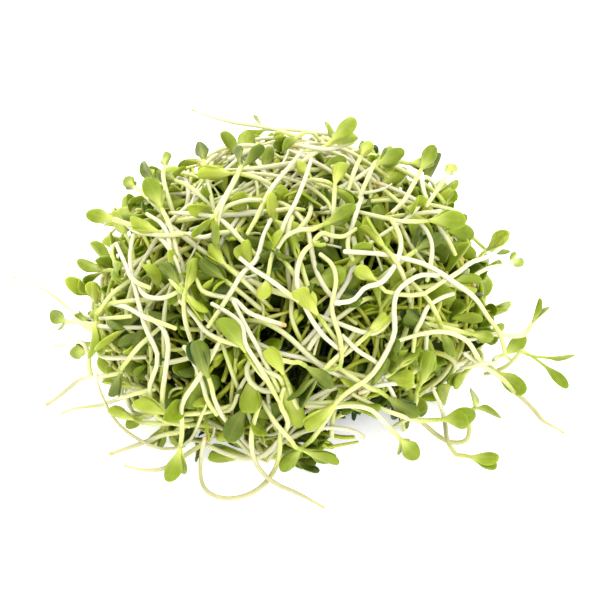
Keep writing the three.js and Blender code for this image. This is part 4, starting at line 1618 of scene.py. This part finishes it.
PLACED = (
    # stems on the left and low in front
    Placed(((-90, 41), (-81, 45), (-73, 47), (-65, 50), (-57, 53), (-53, 55)), tint=0.05),
    Placed(((-77, 51), (-66, 53), (-57, 52), (-49, 48), (-44, 45), (-39, 45))),
    Placed(((-72, 46), (-64, 42), (-54, 38), (-46, 33), (-39, 28), (-40, 19), (-37, 12), (-28, 13))),
    Placed(((-56, 40), (-51, 39), (-46, 40), (-42, 42), (-38, 46))),
    Placed(((-75, 20), (-61, 28), (-52, 33))),
    Placed(((-63, 31), (-55, 34), (-46, 35), (-36, 36))),
    Placed(((-47, 35), (-41, 35), (-37, 32), (-36, 26), (-36, 20), (-36, 14)), radius=0.56, scar=0.5),
    Placed(((-24, 8), (-19, 6), (-13, 5), (-8, 8), (-4, 14), (-2, 19), (-4, 24), (-3, 28)), radius=0.54),
    Placed(((-32, 33), (-28, 30), (-25, 26), (-23, 22), (-20, 19))),
    Placed(((-3, 42), (-9, 43), (-15, 44), (-20, 46), (-26, 46), (-32, 46), (-37, 48)), scar=0.7),
    Placed(((-38, 42), (-31, 40), (-27, 38), (-22, 37), (-16, 37))),
    # over the top and down the middle
    Placed(
        ((121, 85), (18, 82), (0, 73), (-6, 67), (-8, 62), (-10, 57), (-10, 52)),
        lift=2.5, leaf=5, open=2, green=1.1),
    Placed(((166, 76), (-64, 88), (-32, 80), (-28, 74), (-25, 68), (-25, 62))),
    Placed(((-15, 67), (-16, 62), (-16, 56), (-20, 52), (-22, 47), (-26, 39)), lift=2.5, tint=0.1),
    Placed(((-22, 55), (-15, 53), (-8, 51), (1, 47)), lift=3.5, tint=0),
    Placed(((-27, 44), (-21, 43), (-16, 41), (-14, 37), (-9, 32), (-4, 25)), lift=2.5),
    Placed(((-20, 46), (-15, 41), (-11, 37), (-8, 33), (-4, 27))),
    Placed(((11, 58), (15, 55), (15, 51), (12, 46), (12, 43), (13, 39), (13, 35), (12, 32), (9, 32)), tint=0.6),
    Placed(((50, 69), (36, 65), (27, 61), (24, 58), (24, 55))),
    # on the right
    Placed(
        ((102, 23), (82, 34), (67, 40), (59, 41), (51, 42), (43, 42), (36, 44), (31, 46), (29, 49)),
        lift=(3, 1, 2.5, 2.5, 2.5, 2.5, 2.5, 2.5, 2.5), leaf=5.2, open=4, green=1),
    Placed(
        ((21, 57), (35, 54), (46, 49), (51, 45), (55, 40), (60, 34), (63, 27), (63, 23), (61, 19)),
        lift=(3, 3, 3, 3, 3, 3, 4.5, 7, 9.5), radius=0.56, tint=0.05),
    Placed(
        ((51, 44), (45, 46), (39, 46), (34, 45), (31, 42), (29, 37), (25, 33), (20, 29), (15, 27), (11, 25),
         (10, 24)),
        lift=3, radius=0.54, tint=0.15, leaf=8, open=3, green=0.8),
    Placed(
        ((13, 46), (19, 46), (24, 48), (30, 48), (37, 50), (44, 53), (48, 56), (51, 60)),
        lift=(3.5, 3, 3, 3, 3, 3, 3, 3), radius=0.54, tint=0),
    Placed(((63, 55), (61, 52), (57, 49), (51, 46), (47, 44))),
    Placed(((8, 44), (13, 42), (20, 39), (24, 38), (28, 39), (31, 41)), lift=(0, 1, 1.5, 1.5, 1.5, 1.5)),
    Placed(((14, 39), (18, 35), (22, 32), (26, 28), (30, 25), (35, 21)), lift=(1.5, 1.5, 2, 1.5, 1.5, 1.5)),
    Placed(((40, 34), (38, 30), (36, 27), (33, 26), (30, 25))),
    Placed(((54, 38), (49, 39), (43, 39), (39, 37), (36, 35), (34, 31))),
    Placed(((51, 24), (56, 19), (59, 15), (61, 12), (62, 9)), lift=(4.5, 6, 9, 11.5, 14.5), tint=0.3),
    # pairs of leaves in front, on buried stems
    Placed(((-21, 23), (-22, 26), (-23, 28)), lift=2.5, leaf=9, open=3, green=0.05),
    Placed(((-9, 32), (-6, 31), (-4, 30), (-3, 28)), tint=0.5, leaf=10, green=0.8),
    Placed(((-1, 26), (-2, 29), (-3, 31)), tint=0.7, leaf=7, open=8, green=1),
    Placed(((-12, 33), (-13, 34), (-14, 35)), lift=1.5, tint=0.7, leaf=9.2, open=10, green=0.55),
    Placed(((-59, 33), (-61, 32), (-63, 30)), tint=0.7, leaf=7.5, open=6, green=0.75),
    Placed(((-63, 29), (-64, 27), (-63, 26)), lift=3, tint=0.7, leaf=8.5, open=7),
    Placed(((-48, 23), (-49, 21), (-49, 20)), lift=3, tint=0.6, leaf=6.5, green=0),
    Placed(((-41, 9), (-43, 8), (-45, 8)), lift=3, tint=0.7, leaf=6.8, open=6, green=0.8),
    Placed(((-29, 17), (-31, 16), (-33, 16)), lift=3, tint=0.7, leaf=8, open=6, green=0.75),
    Placed(((20, 26), (22, 25), (24, 23)), lift=3, tint=0.7, leaf=8.5, green=0.15),
    Placed(((33, 18), (33, 21), (34, 23)), lift=3, tint=0.7, leaf=8.5, green=0.45),
    Placed(((49, 31), (52, 29), (55, 27)), lift=3, tint=0.7, leaf=6.6, open=6, green=0.3),
    Placed(((44, 36), (44, 34), (44, 33)), lift=3, tint=0.7, leaf=6, green=0.35),
    Placed(((61, 15), (56, 17), (53, 17)), lift=3, tint=0.7, leaf=5.5, open=8, green=0.5),
    Placed(((6, 17), (4, 14), (2, 12)), lift=2.5, tint=0.7, leaf=7, open=18, green=0.3),
    Placed(((-1, 15), (0, 13), (2, 12)), lift=3.5, tint=0.6, leaf=8, green=0.35),
    Placed(((-1, 34), (1, 34), (3, 33)), lift=2.5, tint=0.6, leaf=7, green=0.1),
    # thin ones low on the left
    Placed(
        ((-57, 17), (-57, 10), (-49, 4), (-36, 4), (-31, 4), (-24, 18), (-23, 21)),
        lift=(5.5, 5, 6.5, 6.5, 0.5, 2.5, 2), radius=0.36, tint=0.1),
    Placed(((-61, 26), (-65, 24), (-69, 22)), lift=3, leaf=6.5, green=0.35),
    Placed(((-57, 20), (-61, 19), (-66, 16)), lift=3, leaf=5.5, open=4, green=0.4),
    # short stems over the top and at the sides
    Placed(((173, 80), (140, 80), (132, 76), (133, 69)), lift=2.5, tint=0.1),
    Placed(((-28, 72), (-37, 71), (-43, 69), (-46, 66), (-44, 63)), lift=2.5, tint=0.3),
    Placed(((-51, 56), (-44, 57), (-38, 60), (-31, 62)), tint=0.1),
    Placed(((32, 62), (24, 61), (18, 62), (14, 63), (9, 61), (11, 60), (14, 60)), lift=2.5, tint=0.7),
    Placed(((-76, 41), (-66, 41), (-57, 40), (-50, 41)), tint=0.1),
    Placed(((77, 52), (69, 51), (66, 47), (64, 44)), tint=0.1),
    Placed(((17, 25), (23, 26), (29, 25), (34, 22)), lift=(2, 2.5, 3, 3), tint=0, scar=0.4),
    Placed(((27, 21), (35, 8), (36, 2)), lift=(2, -1.5, 1), tint=0.1),
    # pairs of leaves at the top and round the rim
    Placed(((8, 43), (8, 43), (7, 44)), tint=0.8, leaf=7.2, open=4, green=1),
    Placed(((-48, 66), (-59, 72), (-81, 76)), lift=4.5, tint=0.3, leaf=8, open=24, green=0.1, roll=90),
    Placed(((-72, 75), (-75, 73)), lift=3, tint=0.5, leaf=8, open=6, green=1.05, roll=90),
    Placed(((-89, 67), (-101, 66)), lift=4, tint=0.5, leaf=7, green=0.1),
    Placed(((-97, 56), (-105, 55)), lift=4, tint=0.5, leaf=6, green=0.5),
    Placed(((89, 70), (101, 68)), lift=4, tint=0.5, leaf=7, open=15, green=0.35, roll=90),
    Placed(((99, 51), (116, 43)), lift=3, tint=0.5, leaf=5, open=8, green=1.1),
    Placed(((47, 51), (52, 51)), lift=1, tint=0.5, leaf=7.5, open=6, green=0),
    Placed(((-92, 50), (-99, 47)), lift=3, tint=0.5, leaf=5.2, open=8, green=0.3),
    Placed(((-83, 62), (-91, 59)), tint=0.5, leaf=6.5, open=6, green=0.15),
    Placed(((171, 74), (178, 78)), lift=3.5, tint=0.5, leaf=7.5, green=0.35, roll=90),
    Placed(((35, 73), (45, 76)), lift=3, tint=0.5, leaf=8, open=8, green=1, roll=60),
    Placed(((91, 74), (106, 72)), lift=3, tint=0.5, leaf=5.2, open=6, green=1),
    Placed(((47, 79), (48, 76)), tint=0.5, leaf=7, green=0.4, roll=90),
    Placed(((38, 52), (37, 55)), lift=3.5, tint=0.5, leaf=7.5, open=4, green=0.95, roll=90),
    # and in the middle
    Placed(((-8, 59), (-5, 62), (2, 64), (9, 64), (15, 65)), lift=3, tint=0.5, leaf=8, open=6, green=0.35, roll=60),
    Placed(((-2, 55), (-5, 57)), lift=1.5, tint=0.5, leaf=7.5, open=6, roll=90),
    Placed(((3, 55), (2, 57)), lift=1.5, tint=0.5, leaf=7, open=6, green=0.55, roll=90),
    Placed(((-36, 43), (-37, 45)), lift=3, tint=0.5, leaf=7, green=0.65, roll=90),
    Placed(((-37, 44), (-40, 45)), lift=2.5, tint=0.5, leaf=6.5, green=0.1),
    Placed(((-41, 45), (-37, 44)), lift=3, tint=0.5, leaf=7.5, green=0.8, roll=90),
    Placed(((-23, 52), (-27, 53)), tint=0.5, leaf=6, open=6, green=0.85),
    Placed(((-22, 49), (-26, 50)), lift=1, tint=0.5, leaf=7, open=6, green=0),
    Placed(((-60, 53), (-63, 51)), lift=1.5, tint=0.5, leaf=7, open=6, green=0.75),
    Placed(((-74, 39), (-70, 39)), tint=0.5, leaf=6.5, green=0.4),
    Placed(((9, 33), (6, 31)), lift=2.5, tint=0.5, leaf=8, open=8, green=0.1, roll=90),
    Placed(((11, 23), (13, 23)), lift=2.5, tint=0.5, leaf=8, open=6, green=0.5, roll=90),
    Placed(((45, 31), (42, 34)), lift=1, tint=0.5, leaf=8.5, open=6, green=0),
    Placed(((26, 28), (29, 29)), tint=0.5, leaf=7, open=6, roll=90),
    Placed(((19, 24), (21, 26)), lift=1.5, tint=0.5, leaf=7, open=6, green=0.1),
    Placed(((21, 38), (23, 39)), tint=0.5, leaf=5.2, open=8, green=1, roll=90),
)


# ---- the tangle


def drawn(rng: Chance, count: int, spread: Spread) -> Array:
    """Normal draws by the spread's mean and deviation, kept between its low and its high."""
    return np.clip(rng.normal(*spread[:2], count), *spread[2:])


@dataclass
class Crop:
    """Sprouts before they are settled.

    Attributes:
        line: points from root to crown, shaped (sprouts, points, 3).
        radius: of each stem.
        outer: which sprouts lie near the skin.
        leafy: which sprouts have leaves.
        crowns: how the leafy ones' leaves sit.
        young: which of these pairs are still closed and pale.
        green: the colour wanted for each pair, or not a number where chance gives it.
    """

    line: Array
    radius: Array
    outer: Array
    leafy: Array
    crowns: Crowns
    young: Array
    green: Array


def joined(one: Crop | Crowns | Array, two: Crop | Crowns | Array) -> Crop | Crowns | Array:
    """Two arrays end to end, or two crops or their crowns with all their arrays end to end."""
    if isinstance(one, Array):
        return np.concatenate([one, two])
    return type(one)(*(joined(*both) for both in zip(vars(one).values(), vars(two).values())))


def placed_crop(mound: Mound, knots: int) -> Crop:
    """The sprouts placed one by one.

    Their leaves open straight out of the mound, turned by the roll towards the side.

    Args:
        mound: what they wind over.
        knots: points along each.

    Returns:
        The crop.
    """
    with_leaf = [sprout for sprout in PLACED if sprout.leaf]
    line = np.stack([sprout.line(mound, knots) for sprout in PLACED])
    leafy = np.array([sprout.leaf > 0 for sprout in PLACED])
    out = mound.out(line[leafy, -1])
    aside = np.cross(unit(line[leafy, -1] - line[leafy, -3]), out)
    roll = np.radians([[sprout.roll] for sprout in with_leaf])
    crowns = Crowns(
        opening=np.radians([sprout.open for sprout in with_leaf]),
        swing=out * np.cos(roll) + aside * np.sin(roll),
        length=np.array([sprout.leaf for sprout in with_leaf], float),
        bend=np.full(len(with_leaf), 0.06),
    )
    return Crop(
        line=line,
        radius=np.array([sprout.radius for sprout in PLACED]),
        outer=np.ones(len(PLACED), bool),
        leafy=leafy,
        crowns=crowns,
        young=np.array([sprout.leaf < sprout.YOUNG for sprout in with_leaf]),
        green=np.array([sprout.green for sprout in with_leaf], float),
    )


@dataclass
class Tangle:
    """The several hundred sprouts that fill the mound.

    Each sprout starts from a random place in the mound and grows both ways from it, turning
    steadily sideways and steering for a chosen depth under the skin, so that it follows the
    mound. Then all of them are settled together.
    """

    wardrobe: Wardrobe
    mound: Mound
    laid: LaidSprouts
    seed: int = 5
    outer: int = 600
    inner: int = 620
    knots: int = 21
    sectors: int = 8
    inner_sectors: int = 3
    outer_depth: Range = (0.3, 8.0)
    inner_depth: Range = (7.0, 28.0)
    stem_length: Spread = (30, 7, 16, 48)
    stem_radius: Spread = (0.49, 0.07, 0.32, 0.66)
    leaf_length: Spread = (7.6, 0.9, 5.6, 9.8)
    leaf_ratio: Spread = (0.25, 0.04, 0.17, 0.33)
    leaf_tint: Spread = (0.52, 0.31, 0.02, 1.15)
    STEM_GRIDS = (21, 8), (12, 6)  # rings and sides of outer stems and of inner ones
    LEAF_GRIDS = (9, 12), (6, 8)
    THINNED = 0.95  # how many sprouts are left out of the undercut
    DRAWN_IN = 9  # how far the flanks' and the undercut's sprouts are drawn in
    INNER_SHARE, INNER_LEAF = 0.45, 1.15  # an inner sprout's stem and leaves against an outer one's
    LEAFY, LEAFY_BROW, LEAFY_CHEEK = 0.93, 0.6, 0.25
    YOUNG = 0.1
    NARROW, WIDE = 0.3, 0.7  # shares of pairs that are nearly closed, and nearly closed or half open
    HELD = 0.15
    QUICK_ROUNDS = 30
    PLACED_RATIO, YOUNG_RATIO = 0.23, 0.3
    PLACED_ROOT = 0.9
    EDGE = (0.6, 0.85)  # from where to where, in half widths, a leaf counts as at the edge

    def sow(self, rng: Chance, count: int, shallow: float, deep: float) -> Array:
        """Random places in the mound between two depths under its skin.

        Args:
            rng: the source of chance.
            count: how many places.
            shallow: the least depth.
            deep: the greatest depth.

        Returns:
            Points shaped (count, 3).
        """
        m = self.mound
        found = np.zeros((0, 3))
        while len(found) < count:
            p = rng.uniform([-m.half_width, -m.half_depth, 1.0], [m.half_width, m.half_depth, m.height], (4000, 3))
            p[:, :2] += m.middle
            depth = -m.over(p)
            found = np.concatenate([found, p[(depth > shallow) & (depth < deep)]])
        return found[:count]

    def grow(self, rng: Chance, start: Array, length: Array, crown: Array, root: Array) -> Array:
        """Lines of points grown both ways from their starts.

        At each step the direction turns sideways by the stem's own curl, and the slope off the
        skin is steered so that the line reaches the depth wanted at its end.

        Args:
            rng: the source of chance.
            start: the middle of each stem.
            length: of each stem.
            crown: how far off the skin each crown should be, negative inside.
            root: the same for the root.

        Returns:
            Points shaped (stems, knots, 3), from root to crown.
        """
        n, k = len(start), self.knots
        half = k // 2
        m = self.mound
        out = m.out(start)
        heading = square_to(rng.normal(size=(n, 3)), out)
        curl = rng.normal(0, 0.04, (n, 1)) + np.where(rng.random((n, 1)) < 0.3, rng.normal(0, 0.1, (n, 1)), 0)
        drift = rng.normal(0, 0.003, (n, 1))
        crook = np.where(rng.random((n, 1)) < 0.45, rng.normal(0, 0.2, (n, 1)), 0)
        ds = (length / (k - 1))[:, None]
        line = np.empty((n, k, 3))
        line[:, half] = start
        begin = m.over(start)[:, None]
        for sign, goal in ((1, crown[:, None]), (-1, root[:, None])):
            p, way = start.copy(), heading * sign
            for i in range(1, half + 1):
                out = m.out(p)
                side = np.cross(out, way)
                near_crown = np.clip(1 - (length[:, None] / 2 - i * ds) / 6, 0, 1) * (sign > 0)
                turn = sign * (curl + drift * sign * i * ds) + crook * near_crown
                way = unit(way + ds * turn * side)
                wanted = begin + (goal - begin) * (i / half)
                slope = np.clip((wanted - m.over(p)[:, None]) / 4, -0.45, 0.45)
                way = unit(way + 0.4 * (slope - dot(way, out)) * out)
                low = np.maximum(0, (2.0 - p[:, 2]) / 2)
                way[:, 2] = np.where(p[:, 2] < 2.0, np.maximum(way[:, 2], 0.15 * low), way[:, 2])
                way = unit(way)
                p = p + way * ds
                line[:, half + sign * i] = p
        return line

    def stems(self, rng: Chance) -> tuple[Array, Array]:
        """The grown stems.

        Args:
            rng: the source of chance.

        Returns:
            Lines shaped (stems, knots, 3), and which of them are outer ones.
        """
        n = self.outer + self.inner
        start = np.concatenate([self.sow(rng, self.outer, *self.outer_depth),
                                self.sow(rng, self.inner, *self.inner_depth)])
        is_outer = np.arange(n) < self.outer
        kept = rng.random(n) > self.THINNED * self.mound.undercut(start)
        start, is_outer, n = start[kept], is_outer[kept], int(kept.sum())
        shy = self.DRAWN_IN * self.mound.flank(start)
        start = start - self.mound.out(start) * (shy * is_outer)[:, None]
        length = drawn(rng, n, self.stem_length)
        length = np.where(is_outer, length, length * self.INNER_SHARE)
        crown = np.where(rng.random(n) < 0.12, rng.uniform(-1, 2.0, n), rng.uniform(-5.0, -0.3, n))
        crown = np.where(is_outer, crown, rng.uniform(-14, -2.5, n))
        root = np.where(rng.random(n) < 0.55, rng.uniform(-1.5, 1.2, n), rng.uniform(-8, -1.5, n))
        root = np.where(is_outer, root, rng.uniform(-24, -8, n))
        line = self.grow(rng, start, length, crown - shy, root - shy)
        slip = self.DRAWN_IN * self.mound.undercut(line[:, -1])
        return line - (self.mound.out(line[:, -1]) * slip[:, None])[:, None], is_outer

    def crop(self, rng: Chance) -> Crop:
        """The grown sprouts: fewer have leaves on top and on the cheeks, and all inner ones do.

        Args:
            rng: the source of chance.

        Returns:
            The crop.
        """
        line, is_outer = self.stems(rng)
        n = len(line)
        radius = drawn(rng, n, self.stem_radius)
        high, cheek = self.mound.brow(line[:, -1]), self.mound.cheek(line[:, -1])
        with_leaf = self.LEAFY - self.LEAFY_BROW * high - self.LEAFY_CHEEK * cheek
        leafy = rng.random(n) < np.where(is_outer, with_leaf, 1.0)
        pairs = int(leafy.sum())
        young = rng.random(pairs) < self.YOUNG
        kind = rng.random(pairs)
        opening = np.where(kind < self.NARROW, rng.uniform(3, 9, pairs),
                           np.where(kind < self.WIDE, rng.uniform(12, 34, pairs), rng.uniform(36, 72, pairs)))
        crowns = Crowns(
            opening=np.radians(np.where(young, 2.0, opening)),
            swing=rng.normal(size=(pairs, 3)) + self.mound.out(line[leafy, -1]),
            length=np.where(young, rng.uniform(3.8, 4.8, pairs), drawn(rng, pairs, self.leaf_length))
            * np.where(is_outer[leafy], 1, self.INNER_LEAF),
            bend=rng.uniform(-0.12, 0.34, pairs),
        )
        return Crop(line, radius, is_outer, leafy, crowns, young, np.full(pairs, np.nan))

    def build(self) -> None:
        """Grows, settles and dresses the tangle, in pieces by sector and by depth."""
        rng = np.random.default_rng(self.seed)
        grown = self.crop(rng)
        placed = placed_crop(self.mound, self.knots)
        n, more = len(grown.line), len(placed.line)
        crop = joined(grown, placed)
        held = np.concatenate([np.zeros(n), np.full(more, self.HELD)])
        settling = Settling(self.mound, crop.line, crop.leafy, crop.crowns, crop.radius, held, self.laid.stretches())
        line, leaf = settling.run()
        high = self.mound.brow(grown.line[:, -1])
        # painted light and shade: stems are whiter on top of the heap, and the inner ones greener, for the shade
        # inside
        tint = rng.beta(1.2, 3.2, n) * (1 - 0.5 * high) + np.where(grown.outer, 0, 0.9)
        scar = np.where(rng.random(n) < 0.3, rng.uniform(0.3, 0.8, n), 0)
        root = np.where(rng.random(n) < 0.5, 0.55, 0.95)
        tint = np.concatenate([tint, [sprout.tint for sprout in PLACED]])
        scar = np.concatenate([scar, [sprout.scar for sprout in PLACED]])
        root = np.concatenate([root, np.full(more, self.PLACED_ROOT)])
        stems = Stems(line, crop.radius, root, scar, tint)
        self.dress(rng, stems, self.leaves(rng, line, leaf, crop), crop)

    def leaves(self, rng: Chance, line: Array, leaf: Array, crop: Crop) -> Leaves:
        """The settled leaves with their widths and colours.

        Most are green by chance. Light and shade are painted over that: leaves are paler on top and
        at the edge and darker inside the heap and at the heart, and more of them are dark lower down
        and at the heart and fewer at the edge and on the cheeks.

        Args:
            rng: the source of chance.
            line: the settled stems.
            leaf: the leaves' settled points.
            crop: the sprouts as they grew.

        Returns:
            Two leaves for every leafy stem.
        """
        line, inner, young, green = line[crop.leafy], ~crop.outer[crop.leafy], crop.young, crop.green
        n = len(line)
        crown = line[:, -1]
        along = unit(line[:, -1] - line[:, -3])
        swing = square_to(crop.crowns.swing, along)
        foot = crown[:, None] - along[:, None] * 0.2 + np.zeros((n, 2, 3))
        points = np.concatenate([foot[:, :, None], leaf], axis=2)
        end = points[:, :, 3:] + (points[:, :, 3:] - points[:, :, 2:3]) * 0.16
        points = np.concatenate([points[:, :, :3], end], axis=2).reshape(2 * n, 4, 3)
        width = np.repeat(np.cross(along, swing), 2, axis=0)
        width = unit(width + rng.normal(0, 0.18, (2 * n, 3)))
        hand = np.tile([1.0, -1.0], n)[:, None]
        length, is_young = np.repeat(crop.crowns.length, 2), np.repeat(young, 2)
        ratio = drawn(rng, 2 * n, self.leaf_ratio)
        ratio = np.where(np.repeat(np.isnan(green), 2), ratio, self.PLACED_RATIO)
        ratio = np.where(is_young, self.YOUNG_RATIO, ratio)
        # painted shade: inner leaves are darker
        base = drawn(rng, n, self.leaf_tint) - np.where(inner, 0.3, 0)
        base = np.where(young, rng.uniform(0.9, 1.15, n), base)
        high, heart, cheek = self.mound.brow(crown), self.mound.heart(crown), self.mound.cheek(crown)
        edge = ease(*self.EDGE, np.abs(crown[:, 0] - self.mound.middle[0]) / self.mound.half_width)
        # painted light and shade: fewer dark leaves on top, at the edge and on the cheeks, more at the heart; the
        # others paler on top and at the edge and darker at the heart
        dark = ~young & (rng.random(n) < 0.14 * (1 - high) * (1 - edge) * (1 - cheek) + 0.3 * heart)
        base = np.where(dark, rng.uniform(-0.05, 0.12, n), base + 0.3 * high + 0.2 * edge - 0.15 * heart)
        base = np.where(np.isnan(green), base, green)
        return Leaves(
            line=points,
            width_way=width,
            inner=-np.repeat(swing, 2, axis=0) * hand,
            half=ratio * length,
            thick=np.where(is_young, 1.3, rng.uniform(0.65, 0.9, 2 * n)),
            stalk=rng.uniform(0.0, 0.12, 2 * n),
            cup=np.clip(1.4 - 4 * ratio + rng.normal(0, 0.18, 2 * n), 0.05, 0.95),
            tint=np.repeat(base, 2) + rng.normal(0, 0.05, 2 * n),
        )

    def dress(self, rng: Chance, stems: Stems, leaves: Leaves, crop: Crop) -> None:
        """Makes the pieces: outer stems and leaves in sectors, inner ones in thirds with fewer faces.

        Args:
            rng: the source of chance.
            stems: all the stems.
            leaves: all the leaves.
            crop: the sprouts as they grew.
        """
        owner = np.repeat(np.flatnonzero(crop.leafy), 2)
        middle = stems.line.mean(1)
        angle = np.arctan2(middle[:, 1] - self.mound.middle[1], middle[:, 0] - self.mound.middle[0])
        sector = ((angle / FULL_TURN + 0.5) * self.sectors).astype(int) % self.sectors
        for depth, (outer, label, count) in enumerate(((True, "outer", self.sectors),
                                                       (False, "inner", self.inner_sectors))):
            part = sector * count // self.sectors
            for i in range(count):
                mine = (crop.outer == outer) & (part == i)
                stem_loft = stems.pick(mine).loft(*self.STEM_GRIDS[depth], rng)
                self.wardrobe.piece(f"{label}_stems_{i + 1}", stem_loft, Slot.STEM, [MIDDLE])
                leaf_loft = leaves.pick(mine[owner]).loft(*self.LEAF_GRIDS[depth], rng)
                self.wardrobe.piece(f"{label}_leaves_{i + 1}", leaf_loft, Slot.LEAF, [MIDDLE])


# ---- the studio


@dataclass
class Studio:
    """The pale table, the soft light and the camera."""

    middle: Array
    elevation: float = 36.0
    distance: float = 330.0
    aim_height: float = 12.8
    aim_right: float = 1.0
    lens: float = 84.86
    sensor: float = 36.0
    table_radius: float = 3000.0
    table_rings: int = 24
    table_sides: int = 96
    LIGHT_SIZE = 0.6
    LIGHT_AIM = (0, 0, 0.02)

    def table(self) -> None:
        """A broad flat disc under the heap, so that its edge is out of every view.

        Its rings' radii grow with the square of their number.
        """
        rings, sides = self.table_rings, self.table_sides
        radius = self.table_radius * (np.arange(1, rings + 1) / rings) ** 2
        angle = np.arange(sides) * FULL_TURN / sides
        x = radius[:, None] * np.cos(angle)
        y = radius[:, None] * np.sin(angle)
        z = np.zeros_like(x)
        points = np.concatenate([[[0, 0, 0]], np.stack([x, y, z], -1).reshape(-1, 3)]) * MM
        side = np.arange(sides)
        after = (side + 1) % sides
        row = 1 + np.arange(rings - 1)[:, None] * sides
        quads = np.stack([row + side, row + sides + side, row + sides + after, row + after], -1).reshape(-1, 4)
        centre = np.stack([np.zeros(sides, int), 1 + side, 1 + after], -1)
        mesh = bpy.data.meshes.new("table")
        mesh.from_pydata(points.tolist(), [], centre.tolist() + quads.tolist())
        mesh.materials.append(TableFinish().build())
        obj = linked("table", mesh)
        obj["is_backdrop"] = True

    @staticmethod
    def facing(place: Vector, way: Vector) -> Matrix:
        """How something stands at a place that looks along a way."""
        return Matrix.Translation(place) @ way.to_track_quat("-Z", "Y").to_matrix().to_4x4()

    def light(self, name: str, place: Place, power: float, colour: Place) -> None:
        """A square area light that shines at the heap.

        Args:
            name: the light's name.
            place: where it stands, in metres.
            power: in watts.
            colour: red, green and blue.
        """
        data = bpy.data.lights.new(name, "AREA")
        data.size, data.energy, data.color = self.LIGHT_SIZE, power, colour
        linked(name, data).matrix_world = self.facing(Vector(place), Vector(self.LIGHT_AIM) - Vector(place))

    def world(self) -> None:
        """An even white surround."""
        world = bpy.data.worlds.new("white_room")
        n = opened(world)
        shader = n.add("ShaderNodeBackground", {"Color": (1.0, 1.0, 1.0, 1.0), "Strength": 1.0})
        n.add("ShaderNodeOutputWorld", {"Surface": shader.outputs[0]})
        bpy.context.scene.world = world

    def camera(self) -> None:
        """The camera, looking down at the heap from the front."""
        data = bpy.data.cameras.new("camera")
        data.lens, data.sensor_width = self.lens, self.sensor
        e = math.radians(self.elevation)
        aim = Vector((self.middle[0] + self.aim_right, self.middle[1], self.aim_height)) * MM
        back = Vector((0, -math.cos(e), math.sin(e))) * self.distance * MM
        obj = linked("camera", data)
        obj.matrix_world = self.facing(aim + back, -back)
        bpy.context.scene.camera = obj

    def build(self) -> None:
        """Sets everything up."""
        self.table()
        self.world()
        self.light("key", (-0.22, 0.34, 0.58), 5.8, (1.0, 0.99, 0.97))
        self.light("fill", (0.35, -0.5, 0.5), 3.4, (0.98, 0.99, 1.0))
        self.camera()
        view = bpy.context.scene.view_settings
        view.view_transform = "Standard"
        view.look = "None"


def main() -> None:
    """Builds the studio, the laid sprouts and the tangle, in that order."""
    logging.basicConfig(level=logging.INFO, format="%(message)s")
    low, high = (np.array(corner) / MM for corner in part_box(MIDDLE))
    middle = 0.5 * (low + high)
    Studio(middle).build()
    size = high - low
    mound = Mound((middle[0], middle[1]), 0.5 * size[0], 0.5 * size[1], size[2])
    wardrobe = Wardrobe.build(mound)
    laid = LaidSprouts(wardrobe, np.array([middle[0], middle[1], HEART_HEIGHT]))
    laid.read()
    Tangle(wardrobe, mound, laid).build()
    laid.build()
    boxes = [[list(map(float, corner)) for corner in box] for box in (CAD_BOX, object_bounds())]
    {"cad": boxes[0], "visual": boxes[1]}


if __name__ == "__main__":
    main()
